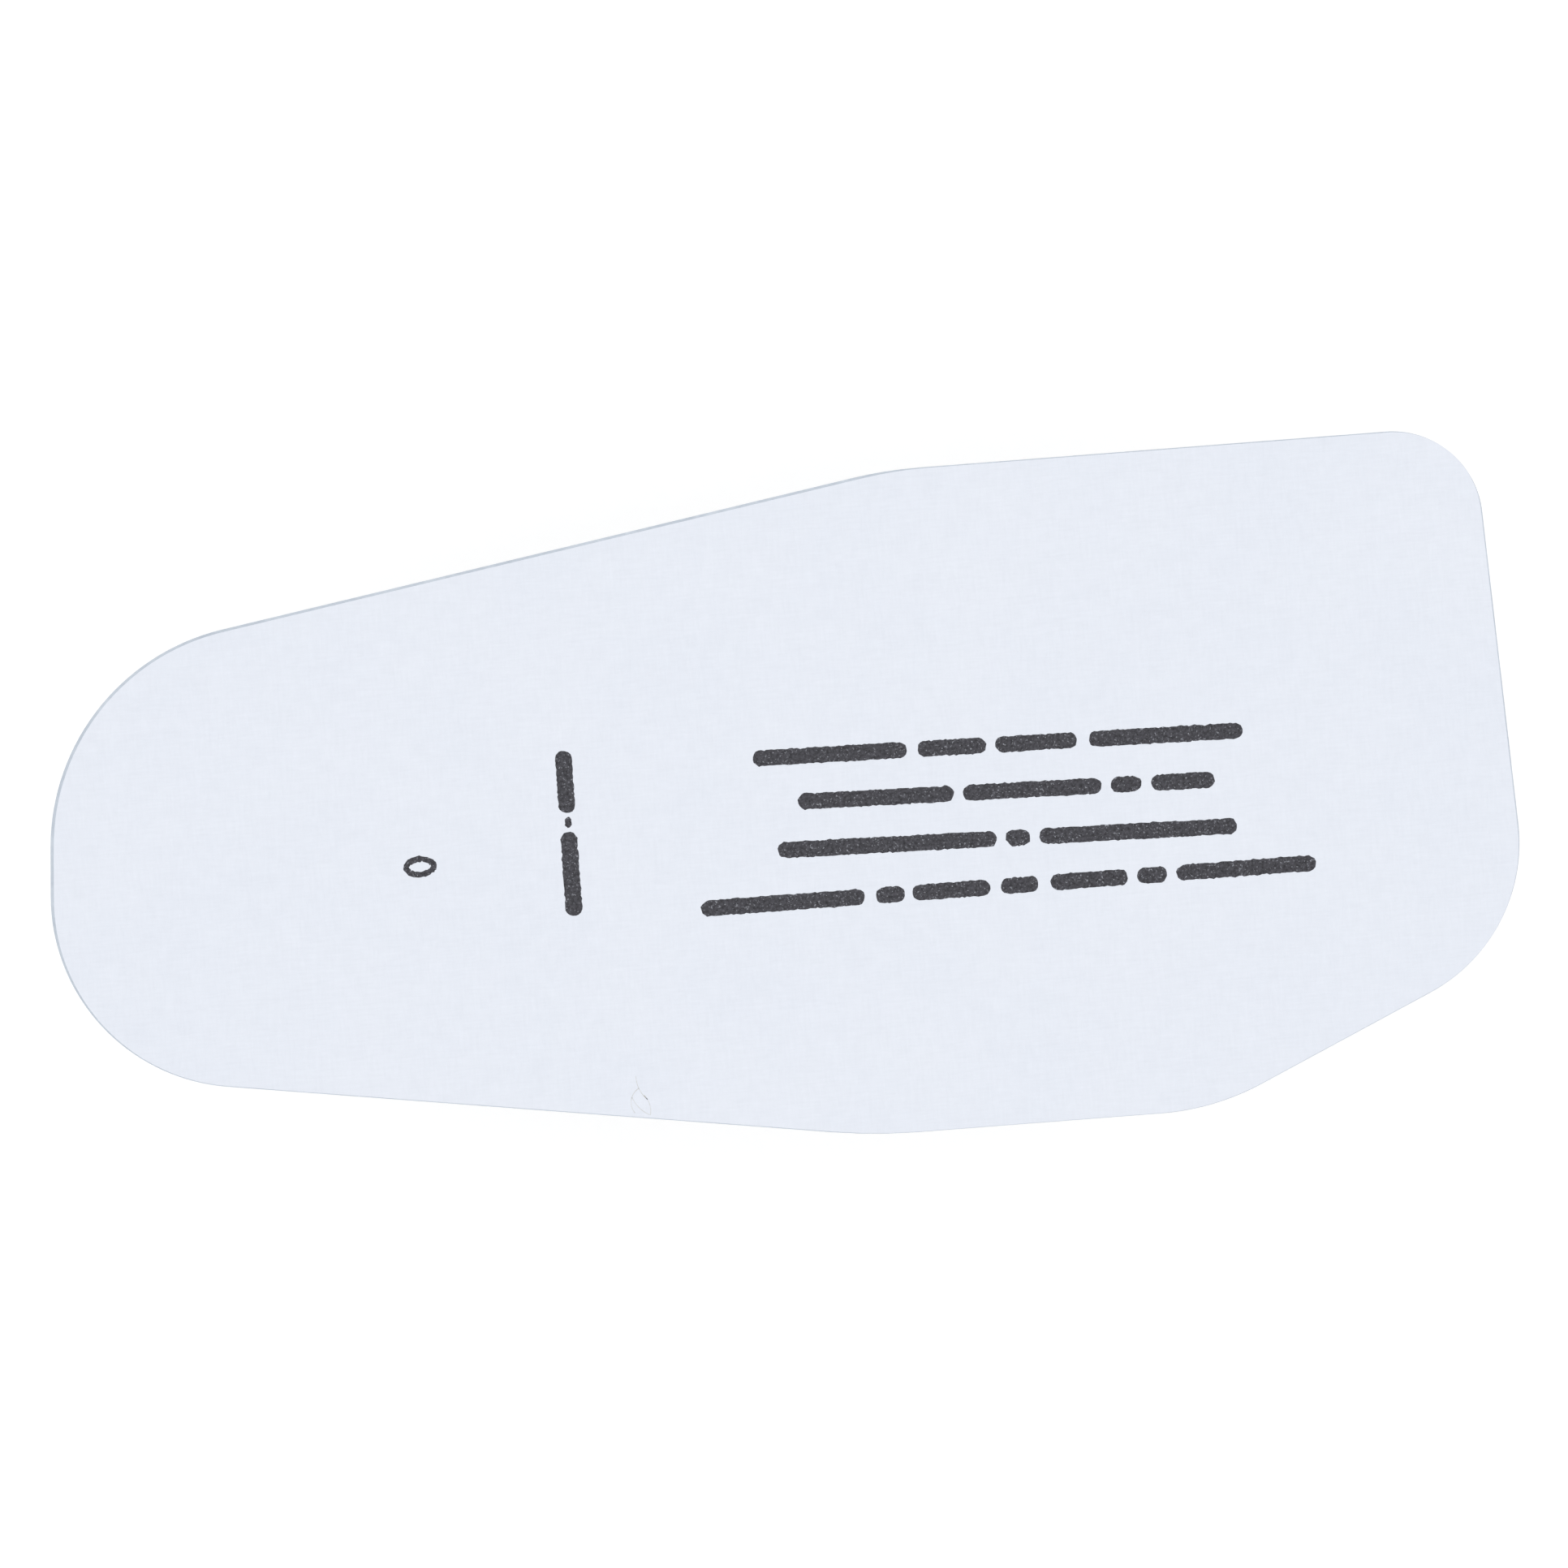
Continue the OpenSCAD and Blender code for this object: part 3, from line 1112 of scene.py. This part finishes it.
    def press_pillars(self, bm: BMesh) -> None:
        """Presses the guide pillars in from the walls and softens them.

        Args:
            bm: The sheet.
        """
        near: list[BMVert] = []
        for pillar in self.pillars:
            for vert in bm.verts:
                spot = vert.co / MM
                beside = abs(spot.x - pillar.place) < pillar.width / 2 + self.pillar_reach
                if beside and spot.z < pillar.top + self.pillar_reach:
                    away = pillar.pressed(spot)
                    if away < abs(spot.y) - CLOSE:
                        vert.co.y = math.copysign(away * MM, vert.co.y)
                        near.append(vert)
        for _ in range(self.smooth_rounds):
            bmesh.ops.smooth_vert(
                bm, verts=near, factor=self.smooth_share, use_axis_x=True, use_axis_y=True, use_axis_z=True)

    def skin(self) -> BMesh:
        """Builds the sheet's upper face.

        Returns:
            The open mesh.
        """
        bm = bmesh.new()
        shade_band_from = self.edge_inset + self.frosted_shade_band
        rings = [self.sunk_pocket(bm)]
        pocket, card = self.outline.pocket_radii, self.outline.radii
        for inset, at_chamfer, radii in (
            (self.seal_inner, self.seal_inner_flap, shrunk(pocket, self.seal_inner - self.flange)),
            (self.seal_margin, self.seal_flap, shrunk(card, self.seal_margin)),
            (shade_band_from, shade_band_from, shrunk(card, shade_band_from)),
            (self.edge_inset, self.edge_inset, shrunk(card, self.edge_inset)),
        ):
            rings.append(self.outline.loop(bm, self.outline.even(inset, at_chamfer), radii, self.top))
        # The outermost band, at the rim, takes the cut edge's painted shade.
        kinds = (TrayFinish.CLEAR, TrayFinish.SEALED, TrayFinish.CLEAR, TrayFinish.CUT_EDGE)
        for band, kind in zip(bridge_level(bm, rings, self.top), kinds):
            for face in band:
                face.material_index = kind.value
        cuts = [x for x, _ in self.ramp_profile]
        for pillar in self.pillars:
            cuts += pillar.cuts()
        cuts += self.more_cuts
        slice_along(bm, sorted(set(round(cut, DECIMALS) for cut in cuts)))
        self.lift_floor(bm)
        self.press_pillars(bm)
        bmesh.ops.recalc_face_normals(bm, faces=bm.faces[:])
        if max(bm.faces, key=lambda f: f.calc_area()).normal.z < 0:
            bmesh.ops.reverse_faces(bm, faces=bm.faces[:])
        return bm

    def build(self) -> None:
        """Builds the tray with its thickness, its cut edge in a painted shade, and its finishes."""
        bm = self.skin()
        bmesh.ops.solidify(bm, geom=bm.faces[:], thickness=self.sheet * MM)
        bm.normal_update()
        underside = (self.top - self.sheet - self.edge_slack) * MM
        for face in bm.faces:
            levels = {round(v.co.z / MM, 2) for v in face.verts}
            # The upright faces of the rim take the cut edge's painted shade too.
            upright = abs(face.normal.z) < self.edge_tilt and len(levels) > 1
            if upright and all(v.co.z > underside for v in face.verts):
                face.material_index = TrayFinish.CUT_EDGE.value
            elif face.material_index == TrayFinish.SEALED.value and face.normal.z < 0:
                face.material_index = TrayFinish.CLEAR.value
        finishes = {
            TrayFinish.CLEAR: ClearSheet(), TrayFinish.CUT_EDGE: ShadedCutEdge(), TrayFinish.SEALED: SealedFlange(),
        }
        tray = finished(bm, "formed_tray", [finishes[kind].material() for kind in TrayFinish], limit=40.0)
        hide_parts("blister_tray")
        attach(tray, "tray")


# Lid
@dataclass(frozen=True)
class PrintRow:
    """One row of the print: where its base line starts, how it leans, and its bars' places and lengths."""

    start: Point
    tilt: float
    bars: tuple[Point, ...]
    height: float = 1.0
    above: float = 0.72


@dataclass(frozen=True)
class CreaseLine:
    """One hairline of a crease: an arc about a centre."""

    centre: Point
    radius: float
    start: float
    turn: float
    width: float = 0.045


@dataclass
class PeelLid:
    """The paper lid, its heat-seal band, the plain print on it and a small crease at its lower edge."""

    outline: CardOutline
    paper_from: float = 20.03
    paper_to: float = 20.165
    ink: float = 0.008
    hinge: float = -45.0
    bend_to: float = -36.5
    bend_steps: int = 18
    seal_margin: float = 1.0
    seal_flap: float = 4.0
    seal_inner: float = 4.3
    seal_inner_flap: float = 7.1
    seal_past_pocket: float = 0.9
    seal_from: float = 20.003
    seal_to: float = 20.027
    corner_trim: float = 0.25
    margins: Numbers = (0.07, 0.08, 0.12, 0.10, 0.20, 0.25, 0.09)
    rows: tuple[PrintRow, ...] = (
        PrintRow((-1.40, 2.59), -1.10, ((-0.10, 9.52), (10.07, 4.26), (14.87, 5.06), (20.63, 9.50))),
        PrintRow((1.39, -0.28), -1.34, ((-0.30, 9.61), (9.86, 8.56), (18.98, 1.90), (21.48, 3.91))),
        PrintRow((-0.09, -3.17), -1.33, ((-0.30, 13.52), (13.77, 1.50), (15.82, 12.22))),
        PrintRow((-5.10, -6.40), -0.09, (
            (-0.25, 10.13), (10.53, 1.81), (12.79, 4.81), (18.25, 2.36),
            (21.31, 4.81), (26.68, 1.86), (29.13, 8.60))),
        PrintRow((-13.09, 4.69), -90.47, ((0.0, 3.85), (5.0, 5.22)), 1.05, 0.0),
        PrintRow((-13.12, 0.60), -90.47, ((0.0, 0.66),), 0.42, 0.0),
    )
    zero_place: Point = (-22.42, -1.76)
    zero_size: Point = (1.02, 0.66)
    zero_stroke: float = 0.36
    creases: tuple[CreaseLine, ...] = (
        CreaseLine(centre=(-9.55, -17.30), radius=1.02, start=118.0, turn=98.0),
        CreaseLine(centre=(-10.75, -17.75), radius=1.35, start=42.0, turn=-57.0),
        CreaseLine(centre=(-8.30, -15.75), radius=1.85, start=176.0, turn=52.0),
        CreaseLine(centre=(-8.55, -16.25), radius=2.05, start=199.0, turn=44.0),
    )
    crease_height: float = 0.006
    raggedness: float = 0.022
    ragged_step: float = 0.16
    ragged_seed: int = 7
    bar_segments: int = 16
    long_edge: float = 0.3
    zero_segments: int = 40
    crease_steps: int = 14

    def bend_cuts(self) -> list[float]:
        """Gives the places where the lid needs edges to bend as it peels."""
        step = (self.bend_to - self.hinge) / self.bend_steps
        return [self.hinge + step * k for k in range(self.bend_steps + 1)]

    def paper(self) -> Object:
        """Builds the paper sheet.

        Returns:
            The sheet.
        """
        bm = bmesh.new()
        insets = {side: self.margins[side.value] for side in Side}
        loop = self.outline.loop(bm, insets, shrunk(self.outline.radii, self.corner_trim), self.paper_from)
        bmesh.ops.contextual_create(bm, geom=loop)
        slice_along(bm, self.bend_cuts())
        thicken_up(bm, self.paper_to - self.paper_from)
        return finished(bm, "paper_lid", [LidPaper().material()])

    def seal(self) -> Object:
        """Builds the seal band between the paper and the flange.

        Returns:
            The band.
        """
        bm = bmesh.new()
        outer = self.outline.loop(
            bm, self.outline.even(self.seal_margin, self.seal_flap),
            shrunk(self.outline.radii, self.seal_margin), self.seal_from)
        inner = self.outline.loop(
            bm, self.outline.even(self.seal_inner, self.seal_inner_flap),
            shrunk(self.outline.pocket_radii, -self.seal_past_pocket), self.seal_from)
        bridge_level(bm, [inner, outer], self.seal_from)
        slice_along(bm, self.bend_cuts())
        thicken_up(bm, self.seal_to - self.seal_from)
        return finished(bm, "seal_band", [SealCoating().material()])

    def bar(self, place: Matrix, length: float, height: float, ragged: random.Random) -> BMesh:
        """Draws one bar of print: a flat strip with round ends and the ragged edge of stamped ink.

        Args:
            place: Where the bar's start is and how it leans.
            length: The bar's length.
            height: The bar's height.
            ragged: The source of the edge's roughness.

        Returns:
            The bar's mesh.
        """
        bm = bmesh.new()
        verts = bmesh.ops.create_circle(
            bm, cap_ends=True, segments=self.bar_segments, radius=height / 2 * MM)["verts"]
        half_step = Matrix.Rotation(math.pi / self.bar_segments, 3, "Z")
        bmesh.ops.rotate(bm, verts=verts, cent=(0, 0, 0), matrix=half_step)
        bmesh.ops.translate(bm, verts=verts, vec=mm(height / 2, 0, 0))
        far = [v for v in verts if v.co.x > height / 2 * MM]
        bmesh.ops.translate(bm, verts=far, vec=mm(max(length - height, 0.0), 0, 0))
        long_edges = [e for e in bm.edges if e.calc_length() > self.long_edge * MM]
        if long_edges:
            cuts = max(1, round(long_edges[0].calc_length() / (self.ragged_step * MM)))
            bmesh.ops.subdivide_edges(bm, edges=long_edges, cuts=cuts)
        self.roughen(bm, ragged)
        bmesh.ops.transform(bm, matrix=place, verts=bm.verts[:])
        return bm

    def zero(self, ragged: random.Random) -> BMesh:
        """Draws a plain zero, turned as the print beside it.

        Args:
            ragged: The source of the edge's roughness.

        Returns:
            The zero's mesh.
        """
        bm = bmesh.new()
        bmesh.ops.create_circle(bm, cap_ends=True, segments=self.zero_segments, radius=MM)
        bmesh.ops.scale(bm, verts=bm.verts[:], vec=(self.zero_size[0], self.zero_size[1], 1.0))
        bm.normal_update()
        inside = bm.faces[:]
        bmesh.ops.inset_region(
            bm, faces=inside, thickness=self.zero_stroke * MM, depth=0.0,
            use_even_offset=True, use_boundary=True)
        bmesh.ops.delete(bm, geom=inside, context="FACES_ONLY")
        self.roughen(bm, ragged)
        bmesh.ops.translate(bm, verts=bm.verts[:], vec=mm(*self.zero_place, 0))
        return bm

    def roughen(self, bm: BMesh, ragged: random.Random) -> None:
        """Moves the points of a flat mark a little, each by itself.

        Args:
            bm: The mark.
            ragged: The source of the roughness.
        """
        for vert in bm.verts:
            vert.co.x += ragged.gauss(0, self.raggedness) * MM
            vert.co.y += ragged.gauss(0, self.raggedness) * MM

    def print_bars(self) -> Object:
        """Builds the print: plain bars for the words, and a plain zero.

        Returns:
            The print.
        """
        bm = bmesh.new()
        ragged = random.Random(self.ragged_seed)
        for row in self.rows:
            base = Matrix.Translation(mm(*row.start, 0)) @ Matrix.Rotation(math.radians(row.tilt), 4, "Z")
            for start, length in row.bars:
                place = base @ Matrix.Translation(mm(start, row.above, 0))
                take_in(bm, self.bar(place, length, row.height, ragged))
        take_in(bm, self.zero(ragged))
        bmesh.ops.translate(bm, verts=bm.verts[:], vec=mm(0, 0, self.paper_to))
        thicken_up(bm, self.ink)
        return finished(bm, "lid_print", [StampInk().material()])

    def crease(self) -> Object:
        """Builds the crease at the lower edge: raised hairlines, each a short line spun along its arc.

        Returns:
            The crease.
        """
        bm = bmesh.new()
        for line in self.creases:
            hair = bmesh.new()
            out = heading(line.start)
            centre = mm(*line.centre, self.paper_to)
            ends = [
                hair.verts.new(centre + out * (line.radius + side * line.width / 2) * MM) for side in (-1, 1)
            ]
            edge = hair.edges.new(ends)
            bmesh.ops.spin(
                hair, geom=ends + [edge], cent=centre, axis=(0, 0, 1), dvec=(0, 0, 0),
                angle=math.radians(line.turn), steps=self.crease_steps, use_duplicate=False)
            take_in(bm, hair)
        thicken_up(bm, self.crease_height)
        # The hairlines' grey finish is painted shade in the wrinkle.
        return finished(bm, "lid_crease", [PaintedCreaseShade().material()])

    def build(self) -> None:
        """Builds the lid's pieces, hides the CAD parts that the paper and the seal stand in for, and hangs
        the marks on the lid.
        """
        for piece, node, slot in (
            (self.paper(), "lid_paper", "lid_paper"), (self.seal(), "heat_seal_band", "seal_coating"),
        ):
            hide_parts(node)
            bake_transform(piece)
        for mark in (self.print_bars(), self.crease()):
            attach(mark, "lid")


# Dropper
@dataclass(frozen=True)
class Turn:
    """One corner of a turned section, with how far its rounding reaches."""

    along: float
    radius: float
    round: float = 0.0


@dataclass
class TurnedPart:
    """A part of the dropper, made of sections that are turned about the dropper's axis."""

    start: float
    height: float = 9.8

    def turned(self, corners: list[Turn], steps: int = TURN_STEPS) -> BMesh:
        """Turns a section into a closed shell.

        Args:
            corners: The section's corners.
            steps: Steps round the axis.

        Returns:
            The new mesh.
        """
        bm = bmesh.new()
        verts = [bm.verts.new(mm(self.start + c.along, 0, self.height + c.radius)) for c in corners]
        bm.faces.new(verts)
        for vert, corner in zip(verts, corners):
            if corner.round > 0:
                bmesh.ops.bevel(
                    bm, geom=[vert], offset=corner.round * MM, offset_type="OFFSET",
                    segments=max(FEWEST_ROUND_STEPS, round(corner.round * ROUND_STEPS_PER_MM)),
                    profile=0.5, affect="VERTICES", clamp_overlap=False, material=-1)
        bmesh.ops.delete(bm, geom=bm.faces[:], context="FACES_ONLY")
        axis = self.height * MM
        on_axis = [e for e in bm.edges if all(abs(v.co.z - axis) < WELD for v in e.verts)]
        bmesh.ops.delete(bm, geom=on_axis, context="EDGES")
        bmesh.ops.spin(
            bm, geom=bm.verts[:] + bm.edges[:], cent=mm(0, 0, self.height), axis=(1, 0, 0), dvec=(0, 0, 0),
            angle=math.tau, steps=steps, use_merge=True, use_duplicate=False)
        bmesh.ops.remove_doubles(bm, verts=bm.verts[:], dist=WELD)
        bmesh.ops.recalc_face_normals(bm, faces=bm.faces[:])
        return bm


@dataclass
class GlassPipette(TurnedPart):
    """The glass tube with its drawn tip, straight stem and bead."""

    start: float = -36.515
    radius: float = 3.5
    wall: float = 0.9
    tip_radius: float = 1.5
    tip_length: float = 12.5
    bead: float = 58.03
    bead_height: float = 0.4
    bead_length: float = 1.2
    mouth_taper: float = 0.1

    def build(self) -> None:
        """Builds the pipette with melted, rounded ends."""
        bore, top = self.radius - self.wall, self.bead + self.bead_length
        widest = self.radius + self.bead_height
        bm = self.turned([
            Turn(0, self.tip_radius - self.wall, 0.3), Turn(0, self.tip_radius, 0.42),
            Turn(self.tip_length, self.radius, 3.0), Turn(self.bead - self.bead_height, self.radius, 0.3),
            Turn(self.bead, widest, 0.25), Turn(top - self.bead_height, widest, 0.25),
            Turn(top, self.radius - self.mouth_taper, 0.35), Turn(top, bore, 0.35),
            Turn(self.tip_length, bore, 3.0),
        ])
        piece = finished(bm, "glass_tube", [PipetteGlass().material()], limit=50.0)
        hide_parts("glass_pipette")
        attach(piece, "dropper")


@dataclass
class ScrewCollar(TurnedPart):
    """The white screw collar: a ribbed skirt, an inner thread and a web with a hole."""

    start: float = 1.985
    length: float = 13.0
    radius: float = 9.0
    root: float = 8.7
    lip: float = 8.6
    bore: float = 7.45
    web: float = 1.2
    web_hole: float = 5.95
    ribs: int = 48
    columns_per_rib: int = 3
    rib_from: float = 0.6
    rib_to: float = 11.4
    rib_step: float = 0.1
    rib_slope: float = 0.16
    rib_round: float = 0.07
    crest_turn: float = 25.0
    pitch: float = 2.12
    thread_from: float = 1.9
    thread_turns: float = 2.6
    thread_height: float = 0.6
    thread_foot: float = 0.65
    thread_crest: float = 0.25
    thread_sunk: float = 0.08
    steps_per_turn: int = 72

    def shell(self) -> BMesh:
        """Turns the collar's wall and raises two of every three columns of its skirt into ribs.

        Returns:
            The wall's mesh.
        """
        web_from, columns = self.length - self.web, self.ribs * self.columns_per_rib
        bm = self.turned([
            Turn(0, self.bore, 0.2), Turn(0, self.lip, 0.2),
            Turn(self.rib_from - self.rib_step, self.lip), Turn(self.rib_from, self.root),
            Turn(self.rib_to, self.root), Turn(self.rib_to + self.rib_step, self.lip),
            Turn(self.length, self.lip, 1.0), Turn(self.length, self.web_hole, 0.2),
            Turn(web_from, self.web_hole, 0.15), Turn(web_from, self.bore, 0.3),
        ], columns)
        low, high = (self.start + self.rib_from) * MM, (self.start + self.rib_to) * MM
        raised = []
        for face in bm.faces:
            spot = face.calc_center_median()
            y, z = spot.y, spot.z - self.height * MM
            if low < spot.x < high and math.hypot(y, z) > (self.root - self.rib_step / 2) * MM:
                if int(math.atan2(y, z) % math.tau / (math.tau / columns)) % self.columns_per_rib:
                    raised.append(face)
        bmesh.ops.inset_region(
            bm, faces=raised, thickness=self.rib_slope * MM, depth=(self.radius - self.root) * MM,
            use_even_offset=True, use_boundary=True)
        sharpest = math.radians(self.crest_turn)
        crests = dict.fromkeys(e for f in raised for e in f.edges if e.calc_face_angle(0.0) > sharpest)
        bmesh.ops.bevel(
            bm, geom=list(crests), offset=self.rib_round * MM, offset_type="OFFSET", segments=2,
            profile=0.5, affect="EDGES", clamp_overlap=True, material=-1)
        return bm

    def thread(self) -> BMesh:
        """Winds the inner thread as a helix with plain ends.

        Returns:
            The thread's mesh.
        """
        bm = bmesh.new()
        deep, crest = self.bore + self.thread_sunk, self.bore - self.thread_height
        corners = [
            (-self.thread_foot, deep), (self.thread_foot, deep),
            (self.thread_crest, crest), (-self.thread_crest, crest),
        ]
        middle = self.start + self.thread_from
        verts = [bm.verts.new(mm(middle + along, 0, self.height + radius)) for along, radius in corners]
        face = bm.faces.new(verts)
        steps = round(self.thread_turns * self.steps_per_turn)
        bmesh.ops.spin(
            bm, geom=[face], cent=mm(0, 0, self.height), axis=(1, 0, 0),
            dvec=mm(self.pitch / self.steps_per_turn, 0, 0),
            angle=math.tau * steps / self.steps_per_turn, steps=steps, use_duplicate=False)
        bmesh.ops.recalc_face_normals(bm, faces=bm.faces[:])
        return bm

    def build(self) -> None:
        """Builds the collar and its thread."""
        plastic = CollarPlastic().material()
        shell = finished(self.shell(), "collar_shell", [plastic], limit=40.0)
        thread = finished(self.thread(), "collar_thread", [plastic], limit=30.0)
        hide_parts("screw_collar")
        for piece in (shell, thread):
            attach(piece, "collar")


@dataclass
class RubberBulb(TurnedPart):
    """The rubber bulb: a foot that the collar traps, and a hollow dome that is squeezed."""

    start: float = 11.735
    neck: float = 3.52
    flange_radius: float = 7.1
    flange: float = 2.0
    groove_radius: float = 5.75
    past_web: float = 3.3
    foot_overlap: float = 0.4
    radius: float = 6.2
    length: float = 24.75
    wall: float = 1.3
    neck_length: float = 8.0
    pole: float = 0.01
    keep: float = 0.7

    def foot(self) -> BMesh:
        """Turns the flange and the groove.

        Returns:
            The foot's mesh.
        """
        end = self.past_web + self.foot_overlap
        return self.turned([
            Turn(0, self.neck, 0.2),
            Turn(0, self.flange_radius, 0.35), Turn(self.flange, self.flange_radius, 0.35),
            Turn(self.flange, self.groove_radius, 0.15), Turn(end, self.groove_radius), Turn(end, self.neck),
        ])

    def dome(self) -> BMesh:
        """Turns the hollow dome past the collar.

        Returns:
            The dome's mesh.
        """
        cavity, inner_end = self.radius - self.wall, self.length - self.wall
        return self.turned([
            Turn(self.past_web, self.neck), Turn(self.past_web, self.radius, 0.5),
            Turn(self.length, self.radius, self.radius - self.pole), Turn(self.length, 0),
            Turn(inner_end, 0), Turn(inner_end, cavity, cavity - self.pole),
            Turn(self.neck_length + cavity - self.neck, cavity, 0.6), Turn(self.neck_length, self.neck, 0.4),
        ])

    def build(self) -> None:
        """Builds the bulb, and gives its dome a mesh of its own."""
        rubber = BulbRubber().material()
        foot = finished(self.foot(), "bulb_foot", [rubber], limit=40.0)
        dome = finished(self.dome(), "bulb_dome", [rubber], limit=40.0)
        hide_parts("rubber_bulb")
        for piece in (foot, dome):
            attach(piece, "dropper")
        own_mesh(dome)


# Studio
@dataclass
class Studio:
    """The pale floor, the plain light and the camera straight above the lid.

    The floor's size, the lamp's height and the camera's near and far are in metres, and angles in degrees.
    """

    look_at: tuple[float, float, float] = (0.328, 1.607, 20.16)
    frame_width: float = 96.6
    lens: float = 120.0
    turn: float = -4.4
    sun: float = 1.73
    ambient: float = 0.45
    floor_gap: float = 0.02
    floor_size: float = 1.5
    lamp_spread: float = 6.0
    lamp_height: float = 0.5
    sensor: float = 36.0
    near: float = 0.01
    far: float = 10.0

    def floor(self) -> None:
        """Lays the floor."""
        bm = bmesh.new()
        bmesh.ops.create_grid(bm, x_segments=1, y_segments=1, size=self.floor_size)
        bmesh.ops.translate(bm, verts=bm.verts[:], vec=mm(0, 0, -self.floor_gap))
        finished(bm, "floor", [PaleFloor().material()])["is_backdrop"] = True

    def light(self) -> None:
        """Sets an even sky and a lamp straight above, so that the shadow stays under the pack."""
        world = bpy.data.worlds.new("sky")
        bpy.context.scene.world = world
        world.use_nodes = True
        recipe = Recipe(world.node_tree)
        world.node_tree.nodes.clear()
        level = recipe.spread(recipe.seen_rays(), To_Min=self.ambient, To_Max=1.0)
        sky = recipe.add("ShaderNodeBackground", Color=(1.0, 1.0, 1.0), Strength=level)
        recipe.add("ShaderNodeOutputWorld", sky.outputs["Background"])
        lamp = bpy.data.lights.new("lamp_above", "SUN")
        lamp.energy = self.sun
        lamp.angle = math.radians(self.lamp_spread)
        holder = bpy.data.objects.new("lamp_above", lamp)
        holder.location = (0.0, 0.0, self.lamp_height)
        bpy.context.scene.collection.objects.link(holder)

    def camera(self) -> None:
        """Hangs the camera straight above the lid, turned as in the photograph."""
        data = bpy.data.cameras.new("camera")
        data.lens = self.lens
        data.sensor_width = self.sensor
        data.clip_start = self.near
        data.clip_end = self.far
        camera = bpy.data.objects.new("camera", data)
        away = self.frame_width * self.lens / self.sensor
        camera.location = mm(*self.look_at) + mm(0, 0, away)
        camera.rotation_euler = (0.0, 0.0, math.radians(self.turn))
        bpy.context.scene.collection.objects.link(camera)
        bpy.context.scene.camera = camera

    def build(self) -> None:
        """Builds the whole studio and sets the plain view."""
        self.floor()
        self.light()
        self.camera()
        bpy.context.scene.view_settings.view_transform = "Standard"


def main() -> list[list[float]]:
    """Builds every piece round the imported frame.

    Returns:
        The CAD model's box: its lowest and its highest corner.
    """
    logging.basicConfig(level=logging.INFO, format="%(name)s %(message)s")
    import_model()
    cad_box = [list(corner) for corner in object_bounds()]
    outline = CardOutline()
    for assembly in (
        FormedTray(outline), PeelLid(outline), GlassPipette(), ScrewCollar(), RubberBulb(), Studio(),
    ):
        LOG.info("building %s", type(assembly).__name__)
        assembly.build()
    return cad_box


if __name__ == "__main__":
    box = main()
